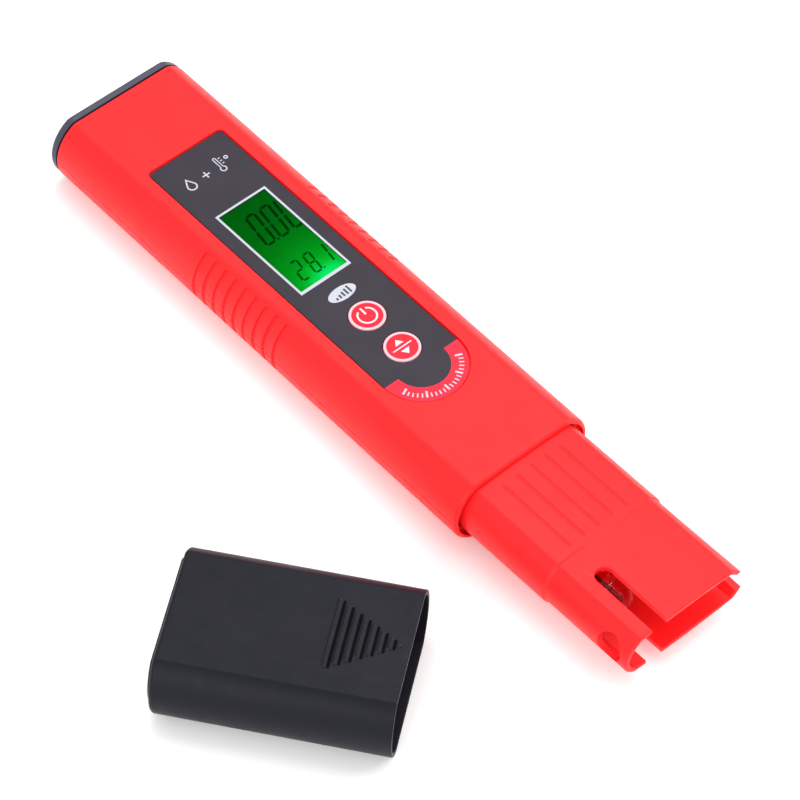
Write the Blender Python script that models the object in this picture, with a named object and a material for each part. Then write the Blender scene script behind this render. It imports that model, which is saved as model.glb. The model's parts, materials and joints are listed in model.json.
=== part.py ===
"""A pH test pen lying on its back, with its storage cap beside it.

The pen lies along X: its battery end is at -X and its probe tip at +X, its display faces +Z,
and the origin is on its back face, near the middle. Stations along the pen are measured in
millimetres from just inside the top edge of the red body, and all sizes are in millimetres.
"""

import math

import bmesh
import bpy
from mathutils import Vector

MM = 0.001

# Driving dimensions, in millimetres
ORIGIN_AT = 90.3
TIP_AT = 184.3
BODY_WIDTH = 38.0
BODY_THICK = 18.0
BODY_FLAT = 26.9
BODY_CREASE = 3.0
BODY_WALL = 1.9
BODY_START = -0.5
COLLAR_AT = 134.3
COLLAR_DEPTH = 1.6
COLLAR_WALL = 1.0
MID_HEIGHT = BODY_THICK / 2
PARTING_GAP = 0.12
FIT_GAP = 0.3
RIM_RADIUS = 0.9

GRIP_COUNT = 9
GRIP_START = 47.9
GRIP_PITCH = 3.38
GRIP_WIDTH = 1.7
GRIP_DEPTH = 0.45

PLATE_START = 22.1
PLATE_HALF = 10.4
PLATE_END = 101.85
PLATE_CORNER = 1.0
PLATE_MARGIN = 0.45
PLATE_TOP = BODY_THICK - 0.35
PLATE_THICK = 0.4
POCKET_FLOOR = PLATE_TOP - PLATE_THICK - 0.05
WINDOW_START = 41.95
WINDOW_END = 69.95
WINDOW_HALF = 6.55
WINDOW_EDGE = 0.08
LCD_MARGIN = 1.5
LCD_TOP = 17.0
LCD_THICK = 2.0
CONNECTOR_WIDTH = 1.6

BUTTONS = {"power": 84.3, "calibration": 95.75}
BUTTON_RADIUS = 4.12
BUTTON_TOP = BODY_THICK - 0.15
BUTTON_FLANGE = 1.0
FLANGE_BOTTOM = 15.3
FLANGE_TOP = 15.85
BUTTON_STEM = 1.5
STEM_BOTTOM = 14.75

BOARD_TOP = 12.0
BOARD_THICK = 1.6
BOARD_START = 34.0
BOARD_END = 117.0
BOARD_HALF = 12.2
BOARD_GAP = 0.1
SCREW_AT = (76.2, 9.6)
SCREW_RADIUS = 0.9
SCREW_HEAD = 1.9
SCREW_TIP = 5.0
BOSS_RADIUS = 2.2
SWITCH_HALF = 3.0
SWITCH_TOP = 14.0
SWITCH_BORE = 2.05
PLUNGER_RADIUS = 1.75
PLUNGER_BOTTOM = 13.4
PLUNGER_TOP = 14.6
CHIP_AT = 106.5
CHIP_HALF = 4.0
CHIP_THICK = 1.4
CRYSTAL_AT = (113.3, 6.5)
CRYSTAL_RADIUS = 1.5
CRYSTAL_HEIGHT = 2.9

PLUG_END = 6.0
PLUG_WALL = 1.6
BATTERY_END = -3.0
BATTERY_END_WALL = 1.15
CAP_END_GAP = 0.55
CAP_EDGE = 0.8
CAP_EDGE_INSET = 0.1
SEAL_WIDTH = 1.9
SEAL_DEPTH = 0.8
SEAL_HALF_WIDTH = 0.6
SEAL_HALF_HEIGHT = 0.3
SEAL_INSET = 0.27
PLUG_SEAL_AT = 2.0

CELL_RADIUS = 5.8
CELL_LENGTH = 5.4
CELL_GAP = 0.05
CELL_START = 10.7
CELL_COUNT = 4
CELL_LID_RADIUS = 4.6
CELL_LID_RISE = 0.5
CELL_EDGE = 0.3
TRAY_START = 6.6
TRAY_END = 32.4
TRAY_CLEARANCE = 0.25
TRAY_WALL = 0.95
TRAY_ARC = (150, 390)
TRAY_DISC_START = 6.4
TRAY_DISC_THICK = 1.2
TONGUE_START = -1.5
TONGUE_END = 7.0
TONGUE_HALF_WIDTH = 5.0
TONGUE_HALF_HEIGHT = 4.2
SPRING_START = 8.2
SPRING_LENGTH = 1.9
SPRING_RADII = (4.2, 2.6)
SPRING_TURNS = 2.5
SPRING_WIRE = 0.3
CONTACT_START = 32.75
CONTACT_THICK = 0.4
CONTACT_HALF_WIDTH = 3.5
CONTACT_HALF_HEIGHT = 4.5

PROBE_WIDTH = 33.6
PROBE_FLAT = 25.2
PROBE_THICK = 15.5
PROBE_CREASE = 1.8
PROBE_STEP = 159.5
PROBE_WALL = 1.6
SPIGOT_START = 121.5
SPIGOT_INSET = 0.95
SPIGOT_SEAL_AT = 126.0
GUARD_WALL = 1.3
GUARD_INSET = 0.4
GUARD_TAPER = 0.3
GUARD_SLOPE = 0.35
GUARD_LIFT = 0.45
TIP_THINNING = 0.2
TIP_SPREAD = 0.11
TIP_EDGE = 0.3
BULKHEAD = (157.6, 161.0)
RIDGE_PITCH = 4.03
RIDGE_WIDTH = 0.8
RIDGE_DEPTH = 0.2
RIDGE_SPAN = (136.4, 157.8)
SLOT_Y = -7.75
SLOT_WIDTH = 4.2
SLOT_END = 165.6
SIDE_OPENING_AT = 164.0
SIDE_OPENING_Y = 12.6
SIDE_OPENING_HEIGHTS = (7.9, 13.9)
SIDE_HOLE_AT = 178.9
SIDE_HOLE_Z = 11.1
SIDE_HOLE_RADIUS = 3.3
BORE_GAP = 0.15

SENSOR_HEIGHT = 10.3
ELECTRODE_Y = -6.0
ELECTRODE_RADIUS = 2.9
STEM_START = 150.7
STEM_END = 166.5
STEM_FLOOR = 0.8
STEM_WALL = 0.7
BULB_GAP = 0.1
BULB_TIP = 174.0
BULB_WALL = 0.4
WIRE_RADIUS = 0.35
WIRE_SPAN = (152.7, 171.7)
SENSOR_Y = 4.6
SENSOR_RADIUS = 1.6
SENSOR_SPAN = (151.0, 173.8)
JUNCTION_Y = 0.3
JUNCTION_HEIGHT = 12.9
JUNCTION_RADIUS = 1.5
JUNCTION_SPAN = (153.0, 162.5)
ELECTRODE_CABLE_RADIUS = 1.1
SENSOR_CABLE_RADIUS = 0.8
CABLE_Y = 4.0
CABLE_DROP = 0.8
CABLE_GAP = 0.8

CAP_LENGTH = 51.3
CAP_WIDTH = 38.0
CAP_FLAT = 27.6
CAP_CREASE = 0.9
CAP_WALL = 1.0
CAP_END_WALL = 0.65
CAP_FIELD_INSET = 2.2
CAP_FIELD_RISE = 0.6
CAP_ROUNDING = 1.0
CAP_LIP = 0.2
CAP_YAW = math.radians(36.65)
CAP_AT = (24.7, -81.3)
CAP_RIB_COUNT = 8
CAP_RIB_PITCH = 2.03
CAP_RIB_WIDTH = 1.1
CAP_RIB_HEIGHT = 0.3
CAP_RIB_TIP = 2.4
CAP_RIB_LONGEST = 17.9

SIDE_STEPS = 5
CREASE_STEPS = 3
ROUND_STEPS = 24
SEAL_STEPS = 6
FILLET_STEPS = 3
THINNEST_CREASE = 0.25
CUTTER_REACH = 8.0


def along(station):
    """X, in millimetres, of a station along the pen."""
    return station - ORIGIN_AT


class Section:
    """An outline with flat front and back, two bulging sides, and a rounded crease at each corner."""

    def __init__(self, width, flat, thick, crease, middle):
        self.half_thick = thick / 2
        bulge = (width - flat) / 2
        self.radius = (self.half_thick**2 + bulge**2) / (2 * bulge)
        self.centre = width / 2 - self.radius
        self.crease = crease
        self.middle = middle

    def quarter(self, inset, cut=0.0):
        """(y, height above the middle, share of the side) from the side up to the flat."""
        side = self.radius - inset
        half = self.half_thick - inset
        crease = max(self.crease - inset, THINNEST_CREASE)
        crease_y = self.centre + math.sqrt((side - crease) ** 2 - (half - crease) ** 2)
        joint = math.atan2(half - crease, crease_y - self.centre)
        first = math.asin(cut / side)
        points = []
        for step in range(SIDE_STEPS + 1):
            angle = first + (joint - first) * step / SIDE_STEPS
            points.append((self.centre + side * math.cos(angle), side * math.sin(angle), 1.0))
        for step in range(1, CREASE_STEPS + 1):
            angle = joint + (math.pi / 2 - joint) * step / CREASE_STEPS
            y = crease_y + crease * math.cos(angle)
            z = half - crease + crease * math.sin(angle)
            points.append((y, z, 1 - step / CREASE_STEPS))
        return points

    def half(self, inset, cut=0.0):
        """The front half of the outline, from the +Y side over the front to the -Y side."""
        right = self.quarter(inset, cut)
        return right + [(-y, z, share) for y, z, share in reversed(right)]

    def loop(self, inset):
        """The whole outline."""
        front = self.half(inset)
        back = [(-y, -z, share) for y, z, share in front[1:-1]]
        return front + back


def ring_points(section, x, outline, deeper):
    """One ring of a lofted shell. Its sides are sunk from one outline to the deeper one."""
    ring = []
    for (y, z, share), (deep_y, deep_z, _) in zip(outline, deeper):
        sunk_y = y + (deep_y - y) * share
        sunk_z = z + (deep_z - z) * share
        ring.append(Vector((x, sunk_y, section.middle + sunk_z)))
    return ring


def object_from(bm, name, material, smooth_angle=30):
    """A new object from a bmesh in millimetres."""
    bmesh.ops.recalc_face_normals(bm, faces=bm.faces)
    bmesh.ops.scale(bm, vec=(MM, MM, MM), verts=bm.verts)
    mesh = bpy.data.meshes.new(name)
    bm.to_mesh(mesh)
    bm.free()
    mesh.materials.append(material)
    mesh.shade_smooth()
    mesh.set_sharp_from_angle(angle=math.radians(smooth_angle))
    obj = bpy.data.objects.new(name, mesh)
    bpy.context.collection.objects.link(obj)
    return obj


def skin(bm, rings, ring_closed, path_closed):
    """Faces between rings of points. Ring ends and path ends that stay open get a flat face."""
    grid = [[bm.verts.new(point) for point in ring] for ring in rings]
    count = len(rings)
    size = len(rings[0])
    for i in range(count if path_closed else count - 1):
        near = grid[i]
        far = grid[(i + 1) % count]
        for j in range(size if ring_closed else size - 1):
            k = (j + 1) % size
            bm.faces.new((near[j], near[k], far[k], far[j]))
    if not path_closed:
        bm.faces.new(grid[0])
        bm.faces.new(grid[-1])
    if not ring_closed:
        bm.faces.new([ring[0] for ring in grid])
        bm.faces.new([ring[-1] for ring in grid])


def loft(name, section, path, material):
    """A solid through a path of (station, inset), with a flat face at both of its ends."""
    bm = bmesh.new()
    rings = []
    for station, inset in path:
        outline = section.loop(inset)
        rings.append(ring_points(section, along(station), outline, outline))
    skin(bm, rings, ring_closed=True, path_closed=False)
    return object_from(bm, name, material)


def half_shell(name, section, path, front, material):
    """Half of a tube, cut at mid height, around a closed path of (station, inset, sunk sides)."""
    bm = bmesh.new()
    rings = []
    for station, inset, sunk in path:
        outline = section.half(inset, PARTING_GAP / 2)
        deeper = section.half(inset + sunk, PARTING_GAP / 2)
        rings.append(ring_points(section, along(station), outline, deeper))
    if not front:
        for ring in rings:
            for point in ring:
                point.z = 2 * section.middle - point.z
    skin(bm, rings, ring_closed=False, path_closed=True)
    return object_from(bm, name, material)


def turned(name, profile, at, direction, material):
    """A body of revolution. The profile is (distance along, radius), from one end to the other."""
    bm = bmesh.new()
    axis = Vector(direction).normalized()
    side = axis.orthogonal().normalized()
    up = axis.cross(side)
    rings = []
    for distance, radius in profile:
        ring = []
        for step in range(ROUND_STEPS):
            angle = 2 * math.pi * step / ROUND_STEPS
            out = side * math.cos(angle) + up * math.sin(angle)
            ring.append(Vector(at) + axis * distance + out * radius)
        rings.append(ring)
    skin(bm, rings, ring_closed=True, path_closed=False)
    return object_from(bm, name, material)


def box(name, low, high, material, bevel=0.0):
    """A box between two corners, in millimetres, with an optional bevel."""
    bm = bmesh.new()
    low = Vector(low)
    high = Vector(high)
    bmesh.ops.create_cube(bm, size=1.0)
    bmesh.ops.scale(bm, vec=high - low, verts=bm.verts)
    bmesh.ops.translate(bm, vec=(low + high) / 2, verts=bm.verts)
    if bevel:
        bmesh.ops.bevel(bm, geom=bm.edges[:], offset=bevel, segments=2, affect="EDGES")
    return object_from(bm, name, material)


def plate(name, outline, bottom, top, material):
    """An upright prism of an (x, y) outline."""
    bm = bmesh.new()
    rings = [[Vector((x, y, z)) for x, y in outline] for z in (bottom, top)]
    skin(bm, rings, ring_closed=True, path_closed=False)
    return object_from(bm, name, material)


def arc(centre, radius, start, end, steps):
    """Points along an arc, with both ends, angles in degrees."""
    points = []
    for step in range(steps + 1):
        angle = math.radians(start + (end - start) * step / steps)
        points.append((centre[0] + radius * math.cos(angle), centre[1] + radius * math.sin(angle)))
    return points


def fillet(radius, steps):
    """(distance in from one face, distance in from the other) along a quarter-round edge."""
    turns = [math.pi / 2 * step / steps for step in range(steps + 1)]
    return [(radius * (1 - math.sin(turn)), radius * (1 - math.cos(turn))) for turn in turns]


def stadium(centre, half_length, half_width, steps=4):
    """An outline along Y with round ends."""
    x, y = centre
    straight = half_length - half_width
    top = arc((x, y + straight), half_width, 0, 180, steps)
    bottom = arc((x, y - straight), half_width, 180, 360, steps)
    return top + bottom


def join(obj, other):
    """Unites another solid with this one."""
    combine(obj, other, "UNION")


def cut(obj, cutter):
    """Cuts another solid out of this one."""
    combine(obj, cutter, "DIFFERENCE")


def combine(obj, other, operation):
    """A Boolean with another solid, which is hidden."""
    modifier = obj.modifiers.new(other.name, "BOOLEAN")
    modifier.operation = operation
    modifier.object = other
    other.hide_render = True
    other.display_type = "WIRE"


def plastic(name, colour, roughness, metallic=0.0, transmission=0.0):
    """A Principled material."""
    material = bpy.data.materials.new(name)
    material.use_nodes = True
    shader = material.node_tree.nodes["Principled BSDF"]
    shader.inputs["Base Color"].default_value = (*colour, 1)
    shader.inputs["Roughness"].default_value = roughness
    shader.inputs["Metallic"].default_value = metallic
    shader.inputs["Transmission Weight"].default_value = transmission
    material.diffuse_color = (*colour, 1)
    return material


def make_materials():
    """Every material by its short name."""
    return {
        "red": plastic("red_abs", (0.86, 0.045, 0.045), 0.42),
        "slate": plastic("slate_abs", (0.065, 0.068, 0.085), 0.5),
        "black": plastic("black_abs", (0.03, 0.031, 0.04), 0.45),
        "film": plastic("printed_film", (0.055, 0.057, 0.08), 0.5),
        "crimson": plastic("button_plastic", (0.72, 0.03, 0.07), 0.4),
        "clear": plastic("clear_plastic", (0.9, 0.95, 0.92), 0.05, transmission=0.9),
        "glass": plastic("glass", (0.95, 0.97, 0.98), 0.03, transmission=1.0),
        "lcd": plastic("lcd_glass", (0.02, 0.35, 0.05), 0.2),
        "light": plastic("light_guide", (0.8, 0.9, 0.8), 0.3),
        "board": plastic("circuit_board", (0.03, 0.2, 0.08), 0.4),
        "chip": plastic("chip_epoxy", (0.02, 0.02, 0.022), 0.6),
        "rubber": plastic("silicone_rubber", (0.03, 0.03, 0.032), 0.7),
        "steel": plastic("steel", (0.62, 0.62, 0.62), 0.28, metallic=1.0),
        "silver": plastic("silver", (0.75, 0.74, 0.71), 0.35, metallic=1.0),
        "resin": plastic("potting_resin", (0.06, 0.06, 0.065), 0.35),
        "ceramic": plastic("porous_ceramic", (0.85, 0.83, 0.78), 0.8),
        "cable": plastic("cable_jacket", (0.05, 0.05, 0.055), 0.5),
    }


def grip_stations():
    """(station, sunk) pairs for the grooves of the side grips."""
    shape = ((-0.5, 0.0), (0.0, 1.0), (0.5, 0.0))
    stations = []
    for number in range(GRIP_COUNT):
        middle = GRIP_START + number * GRIP_PITCH
        stations += [(middle + place * GRIP_WIDTH, depth * GRIP_DEPTH) for place, depth in shape]
    return stations


def body_path():
    """The wall of the red body: outside from the battery end to the collar, then back inside."""
    rim = RIM_RADIUS / 3
    outside = [(BODY_START, rim, 0.0), (BODY_START + rim, 0.0, 0.0)]
    outside += [(station, 0.0, sunk) for station, sunk in grip_stations()]
    outside += [(COLLAR_AT - drop, inset, 0.0) for drop, inset in fillet(RIM_RADIUS, FILLET_STEPS)]
    inside = [
        (COLLAR_AT, COLLAR_WALL, 0.0),
        (COLLAR_AT - COLLAR_DEPTH, COLLAR_WALL, 0.0),
        (COLLAR_AT - COLLAR_DEPTH, BODY_WALL, 0.0),
        (BODY_START, BODY_WALL, 0.0),
    ]
    return outside + inside


def plate_outline(margin):
    """Outline of the display panel: straight sides, small corners at the top, a half-round end."""
    start = along(PLATE_START) - margin
    end = along(PLATE_END)
    half = PLATE_HALF + margin
    corner = PLATE_CORNER + margin
    outline = arc((end, 0), half, -90, 90, 20)
    outline += arc((start + corner, half - corner), corner, 90, 180, 3)
    outline += arc((start + corner, corner - half), corner, 180, 270, 3)
    return outline


def make_front_shell(section, material):
    """The front half of the red body, with the pocket for the display panel and its openings."""
    shell = half_shell("front_shell", section, body_path(), True, material["red"])
    pocket = plate_outline(PLATE_MARGIN)
    cut(shell, plate("pocket_cutter", pocket, POCKET_FLOOR, BODY_THICK + 2, material["red"]))
    margin = LCD_MARGIN + FIT_GAP
    low = (along(WINDOW_START) - margin, -WINDOW_HALF - margin, LCD_TOP - LCD_THICK - 1)
    high = (along(WINDOW_END) + margin, WINDOW_HALF + margin, BODY_THICK)
    cut(shell, box("lcd_cutter", low, high, material["red"]))
    for name, station in BUTTONS.items():
        profile = [(0, BUTTON_RADIUS + FIT_GAP), (CUTTER_REACH, BUTTON_RADIUS + FIT_GAP)]
        at = (along(station), 0, BODY_THICK - CUTTER_REACH / 2)
        cut(shell, turned(f"{name}_cutter", profile, at, (0, 0, 1), material["red"]))


def make_rear_shell(section, material):
    """The rear half of the red body, with two screw bosses for the circuit board."""
    shell = half_shell("rear_shell", section, body_path(), False, material["red"])
    top = BOARD_TOP - BOARD_THICK - 2 * BOARD_GAP
    base = BODY_WALL / 2
    radius = SCREW_RADIUS + 2 * BOARD_GAP
    for side in (-1, 1):
        at = (along(SCREW_AT[0]), side * SCREW_AT[1], 0)
        profile = [(base, BOSS_RADIUS + BOARD_GAP), (top, BOSS_RADIUS)]
        join(shell, turned(f"boss_{side}", profile, at, (0, 0, 1), material["red"]))
        profile = [(SCREW_TIP - 2, radius), (top + 2, radius)]
        cut(shell, turned(f"bore_{side}", profile, at, (0, 0, 1), material["red"]))


def make_battery_cap(section, material):
    """The dark end cap, its plug and the round seal in the plug's groove."""
    plug = BODY_WALL + FIT_GAP
    cavity = plug + PLUG_WALL
    floor = plug + SEAL_DEPTH
    groove_end = PLUG_SEAL_AT + SEAL_WIDTH
    path = [(BATTERY_END + BATTERY_END_WALL, cavity), (PLUG_END, cavity), (PLUG_END, plug)]
    path += [(groove_end, plug), (groove_end, floor), (PLUG_SEAL_AT, floor), (PLUG_SEAL_AT, plug)]
    seam = BODY_START - CAP_END_GAP
    path += [(seam, plug), (seam, CAP_EDGE_INSET)]
    for drop, inset in fillet(CAP_EDGE, FILLET_STEPS):
        path.append((BATTERY_END + drop, CAP_EDGE_INSET + inset))
    loft("battery_cap", section, path, material["slate"])
    middle = PLUG_SEAL_AT + SEAL_WIDTH / 2
    make_seal("battery_cap_seal", section, middle, plug + SEAL_INSET, material["rubber"])


def make_seal(name, section, station, inset, material):
    """A round seal that follows the outline."""
    bm = bmesh.new()
    rings = []
    for step in range(SEAL_STEPS):
        angle = 2 * math.pi * step / SEAL_STEPS
        outline = section.loop(inset + SEAL_HALF_HEIGHT * math.cos(angle))
        x = along(station + SEAL_HALF_WIDTH * math.sin(angle))
        rings.append(ring_points(section, x, outline, outline))
    skin(bm, rings, ring_closed=True, path_closed=True)
    object_from(bm, name, material)


def make_battery_tray(material):
    """A cradle for the stack of button cells, on a tongue that plugs into the end cap."""
    inner = CELL_RADIUS + TRAY_CLEARANCE
    outer = inner + TRAY_WALL
    low, high = TRAY_ARC
    bm = bmesh.new()
    outline = arc((0, 0), outer, low, high, 16) + arc((0, 0), inner, high, low, 16)
    rings = []
    for station in (TRAY_START, TRAY_END):
        rings.append([Vector((along(station), y, MID_HEIGHT + z)) for y, z in outline])
    skin(bm, rings, ring_closed=True, path_closed=False)
    tray = object_from(bm, "battery_tray", material["black"])
    at = (along(TRAY_DISC_START), 0, MID_HEIGHT)
    disc = outer - TRAY_CLEARANCE
    profile = [(0, disc), (TRAY_DISC_THICK, disc)]
    join(tray, turned("tray_end", profile, at, (1, 0, 0), material["black"]))
    low = (along(TONGUE_START), -TONGUE_HALF_WIDTH, MID_HEIGHT - TONGUE_HALF_HEIGHT)
    high = (along(TONGUE_END), TONGUE_HALF_WIDTH, MID_HEIGHT + TONGUE_HALF_HEIGHT)
    join(tray, box("tray_tongue", low, high, material["black"]))


def make_cells(material):
    """Four button cells stacked along the pen."""
    for number in range(CELL_COUNT):
        start = CELL_START + number * (CELL_LENGTH + CELL_GAP)
        profile = [(0, CELL_LID_RADIUS), (CELL_LID_RISE, CELL_LID_RADIUS + 0.1)]
        profile += [(CELL_LID_RISE, CELL_RADIUS - 0.2), (CELL_LID_RISE + CELL_EDGE, CELL_RADIUS)]
        profile += [(CELL_LENGTH - CELL_EDGE, CELL_RADIUS), (CELL_LENGTH, CELL_RADIUS - CELL_EDGE)]
        at = (along(start), 0, MID_HEIGHT)
        turned(f"battery_cell_{number + 1}", profile, at, (1, 0, 0), material["steel"])


def tube(name, points, radius, material):
    """A round wire of eight sides through a list of points, with flat ends."""
    curve = bpy.data.curves.new(name, "CURVE")
    curve.dimensions = "3D"
    curve.bevel_depth = radius * MM
    curve.bevel_resolution = 2
    curve.use_fill_caps = True
    spline = curve.splines.new("POLY")
    spline.points.add(len(points) - 1)
    for target, point in zip(spline.points, points):
        target.co = (*(Vector(point) * MM), 1)
    curve.materials.append(material)
    obj = bpy.data.objects.new(name, curve)
    bpy.context.collection.objects.link(obj)
    return obj


def make_battery_contacts(material):
    """The coil spring behind the cells, and the fixed blade that their other end touches."""
    points = []
    steps = 30
    wide, narrow = SPRING_RADII
    for step in range(steps + 1):
        share = step / steps
        angle = 2 * math.pi * SPRING_TURNS * share
        radius = wide + (narrow - wide) * share
        x = along(SPRING_START + SPRING_LENGTH * share)
        points.append((x, radius * math.cos(angle), MID_HEIGHT + radius * math.sin(angle)))
    tube("battery_spring", points, SPRING_WIRE, material["steel"])
    low = (along(CONTACT_START), -CONTACT_HALF_WIDTH, MID_HEIGHT - CONTACT_HALF_HEIGHT)
    high = (along(CONTACT_START + CONTACT_THICK), CONTACT_HALF_WIDTH, MID_HEIGHT + CONTACT_HALF_HEIGHT)
    box("battery_contact", low, high, material["silver"], bevel=0.08)


def make_panel(material):
    """The printed panel with its clear window over the display."""
    outline = plate_outline(0.0)
    panel = plate("face_panel", outline, PLATE_TOP - PLATE_THICK, PLATE_TOP, material["film"])
    low = (along(WINDOW_START), -WINDOW_HALF, PLATE_TOP - 2)
    high = (along(WINDOW_END), WINDOW_HALF, PLATE_TOP + 1)
    cut(panel, box("window_cutter", low, high, material["film"]))
    for name, station in BUTTONS.items():
        profile = [(0, BUTTON_RADIUS + FIT_GAP), (CUTTER_REACH, BUTTON_RADIUS + FIT_GAP)]
        at = (along(station), 0, PLATE_TOP - CUTTER_REACH / 2)
        cut(panel, turned(f"{name}_panel_cutter", profile, at, (0, 0, 1), material["film"]))
    low = (along(WINDOW_START) + WINDOW_EDGE, WINDOW_EDGE - WINDOW_HALF, LCD_TOP + 0.1)
    high = (along(WINDOW_END) - WINDOW_EDGE, WINDOW_HALF - WINDOW_EDGE, PLATE_TOP - 0.02)
    box("display_window", low, high, material["clear"])


def make_display(material):
    """The liquid crystal cell, the light guide under it and the two rubber connectors."""
    start = along(WINDOW_START) - LCD_MARGIN
    end = along(WINDOW_END) + LCD_MARGIN
    half = WINDOW_HALF + LCD_MARGIN
    bottom = LCD_TOP - LCD_THICK
    box("lcd_glass", (start, -half, bottom), (end, half, LCD_TOP), material["lcd"], bevel=0.1)
    gap = 1.5 * BOARD_GAP
    side_room = CONNECTOR_WIDTH + 0.5
    low = (start + 0.6, side_room - half, BOARD_TOP + gap)
    high = (end - 0.6, half - side_room, bottom - gap)
    box("backlight_panel", low, high, material["light"])
    outer = half - 0.2
    inner = outer - CONNECTOR_WIDTH
    for name, low_y, high_y in (("left", -outer, -inner), ("right", inner, outer)):
        low = (start + 1, low_y, BOARD_TOP + gap)
        high = (end - 1, high_y, bottom - gap)
        box(f"lcd_connector_{name}", low, high, material["rubber"])


def make_buttons(material):
    """Each button with its flange and stem, and the switch that it presses."""
    for name, station in BUTTONS.items():
        at = (along(station), 0, 0)
        flange = BUTTON_RADIUS + BUTTON_FLANGE
        profile = [(STEM_BOTTOM, BUTTON_STEM), (FLANGE_BOTTOM, BUTTON_STEM), (FLANGE_BOTTOM, flange)]
        profile += [(FLANGE_TOP, flange), (FLANGE_TOP, BUTTON_RADIUS)]
        profile += [(BUTTON_TOP - 0.25, BUTTON_RADIUS), (BUTTON_TOP - 0.07, BUTTON_RADIUS - 0.1)]
        profile += [(BUTTON_TOP, BUTTON_RADIUS - 0.35)]
        turned(f"{name}_button", profile, at, (0, 0, 1), material["crimson"])
        low = (along(station) - SWITCH_HALF, -SWITCH_HALF, BOARD_TOP + BOARD_GAP)
        high = (along(station) + SWITCH_HALF, SWITCH_HALF, SWITCH_TOP)
        base = box(f"{name}_switch", low, high, material["chip"], bevel=0.2)
        bore = [(PLUNGER_BOTTOM - 0.65, SWITCH_BORE), (SWITCH_TOP + 1, SWITCH_BORE)]
        cut(base, turned(f"{name}_bore_cutter", bore, at, (0, 0, 1), material["chip"]))
        plunger = [(PLUNGER_BOTTOM, PLUNGER_RADIUS), (PLUNGER_TOP - 0.15, PLUNGER_RADIUS)]
        plunger += [(PLUNGER_TOP, PLUNGER_RADIUS - 0.15)]
        turned(f"{name}_plunger", plunger, at, (0, 0, 1), material["black"])


def make_board(material):
    """The circuit board with its chip, crystal and two screws."""
    bottom = BOARD_TOP - BOARD_THICK
    low = (along(BOARD_START), -BOARD_HALF, bottom)
    high = (along(BOARD_END), BOARD_HALF, BOARD_TOP)
    board = box("circuit_board", low, high, material["board"])
    for side, name in ((-1, "left"), (1, "right")):
        at = (along(SCREW_AT[0]), side * SCREW_AT[1], 0)
        radius = SCREW_RADIUS + 0.4
        hole = [(BOARD_TOP - CUTTER_REACH / 2, radius), (BOARD_TOP + CUTTER_REACH / 2, radius)]
        cut(board, turned(f"screw_hole_{name}", hole, at, (0, 0, 1), material["board"]))
        make_screw(name, at, material["steel"])
    low = (along(CHIP_AT) - CHIP_HALF, -CHIP_HALF, BOARD_TOP + BOARD_GAP)
    high = (along(CHIP_AT) + CHIP_HALF, CHIP_HALF, BOARD_TOP + BOARD_GAP + CHIP_THICK)
    box("controller_chip", low, high, material["chip"], bevel=0.15)
    at = (along(CRYSTAL_AT[0]), CRYSTAL_AT[1], BOARD_TOP + BOARD_GAP)
    edge = 0.2
    can = [(0, CRYSTAL_RADIUS), (CRYSTAL_HEIGHT - edge, CRYSTAL_RADIUS)]
    can += [(CRYSTAL_HEIGHT, CRYSTAL_RADIUS - edge)]
    turned("quartz_crystal", can, at, (0, 0, 1), material["silver"])


def make_screw(name, at, material):
    """A board screw with a cross recess in its head."""
    seat = BOARD_TOP + BOARD_GAP
    profile = [(SCREW_TIP, SCREW_RADIUS - 0.4), (SCREW_TIP + 1, SCREW_RADIUS), (seat, SCREW_RADIUS)]
    profile += [(seat, SCREW_HEAD), (seat + 0.8, SCREW_HEAD), (seat + 1.2, SCREW_HEAD - 0.6)]
    screw = turned(f"board_screw_{name}", profile, at, (0, 0, 1), material)
    for turn, (long, wide) in enumerate(((1.2, 0.25), (0.25, 1.2))):
        low = (at[0] - long, at[1] - wide, seat + 0.65)
        high = (at[0] + long, at[1] + wide, seat + 2)
        cut(screw, box(f"recess_{name}_{turn}", low, high, material))


def probe_path():
    """The probe housing: from the bulkhead out to the spigot, along the outside, into the guard."""
    inner = PROBE_WALL + SPIGOT_INSET
    floor = SPIGOT_INSET + SEAL_DEPTH
    groove_end = SPIGOT_SEAL_AT + SEAL_WIDTH
    shoulder = COLLAR_AT - COLLAR_DEPTH + FIT_GAP
    taper = GUARD_INSET + GUARD_TAPER
    path = [(BULKHEAD[0], inner), (SPIGOT_START, inner), (SPIGOT_START, SPIGOT_INSET)]
    path += [(SPIGOT_SEAL_AT, SPIGOT_INSET), (SPIGOT_SEAL_AT, floor)]
    path += [(groove_end, floor), (groove_end, SPIGOT_INSET)]
    path += [(shoulder, SPIGOT_INSET), (shoulder, 0.0)]
    path += [(PROBE_STEP - GUARD_SLOPE, 0.0), (PROBE_STEP + GUARD_SLOPE, GUARD_INSET)]
    path += [(TIP_AT - TIP_EDGE, taper), (TIP_AT, taper + TIP_EDGE)]
    path += [(TIP_AT, taper + GUARD_WALL), (BULKHEAD[1], GUARD_INSET + GUARD_WALL)]
    return path


def shape_towards_tip(obj):
    """Draws the back of the housing towards its front and spreads it, more and more up to the tip."""
    front = MID_HEIGHT + PROBE_THICK / 2
    for vertex in obj.data.vertices:
        x = vertex.co.x / MM
        share = max(0.0, (x - along(COLLAR_AT)) / (TIP_AT - COLLAR_AT))
        lift = GUARD_LIFT * max(0.0, (x - along(PROBE_STEP)) / (TIP_AT - PROBE_STEP))
        depth = front - vertex.co.z / MM
        vertex.co.y *= 1 + TIP_SPREAD * share**2 * depth / PROBE_THICK
        vertex.co.z = (front - depth * (1 - TIP_THINNING * share) + lift) * MM


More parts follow.
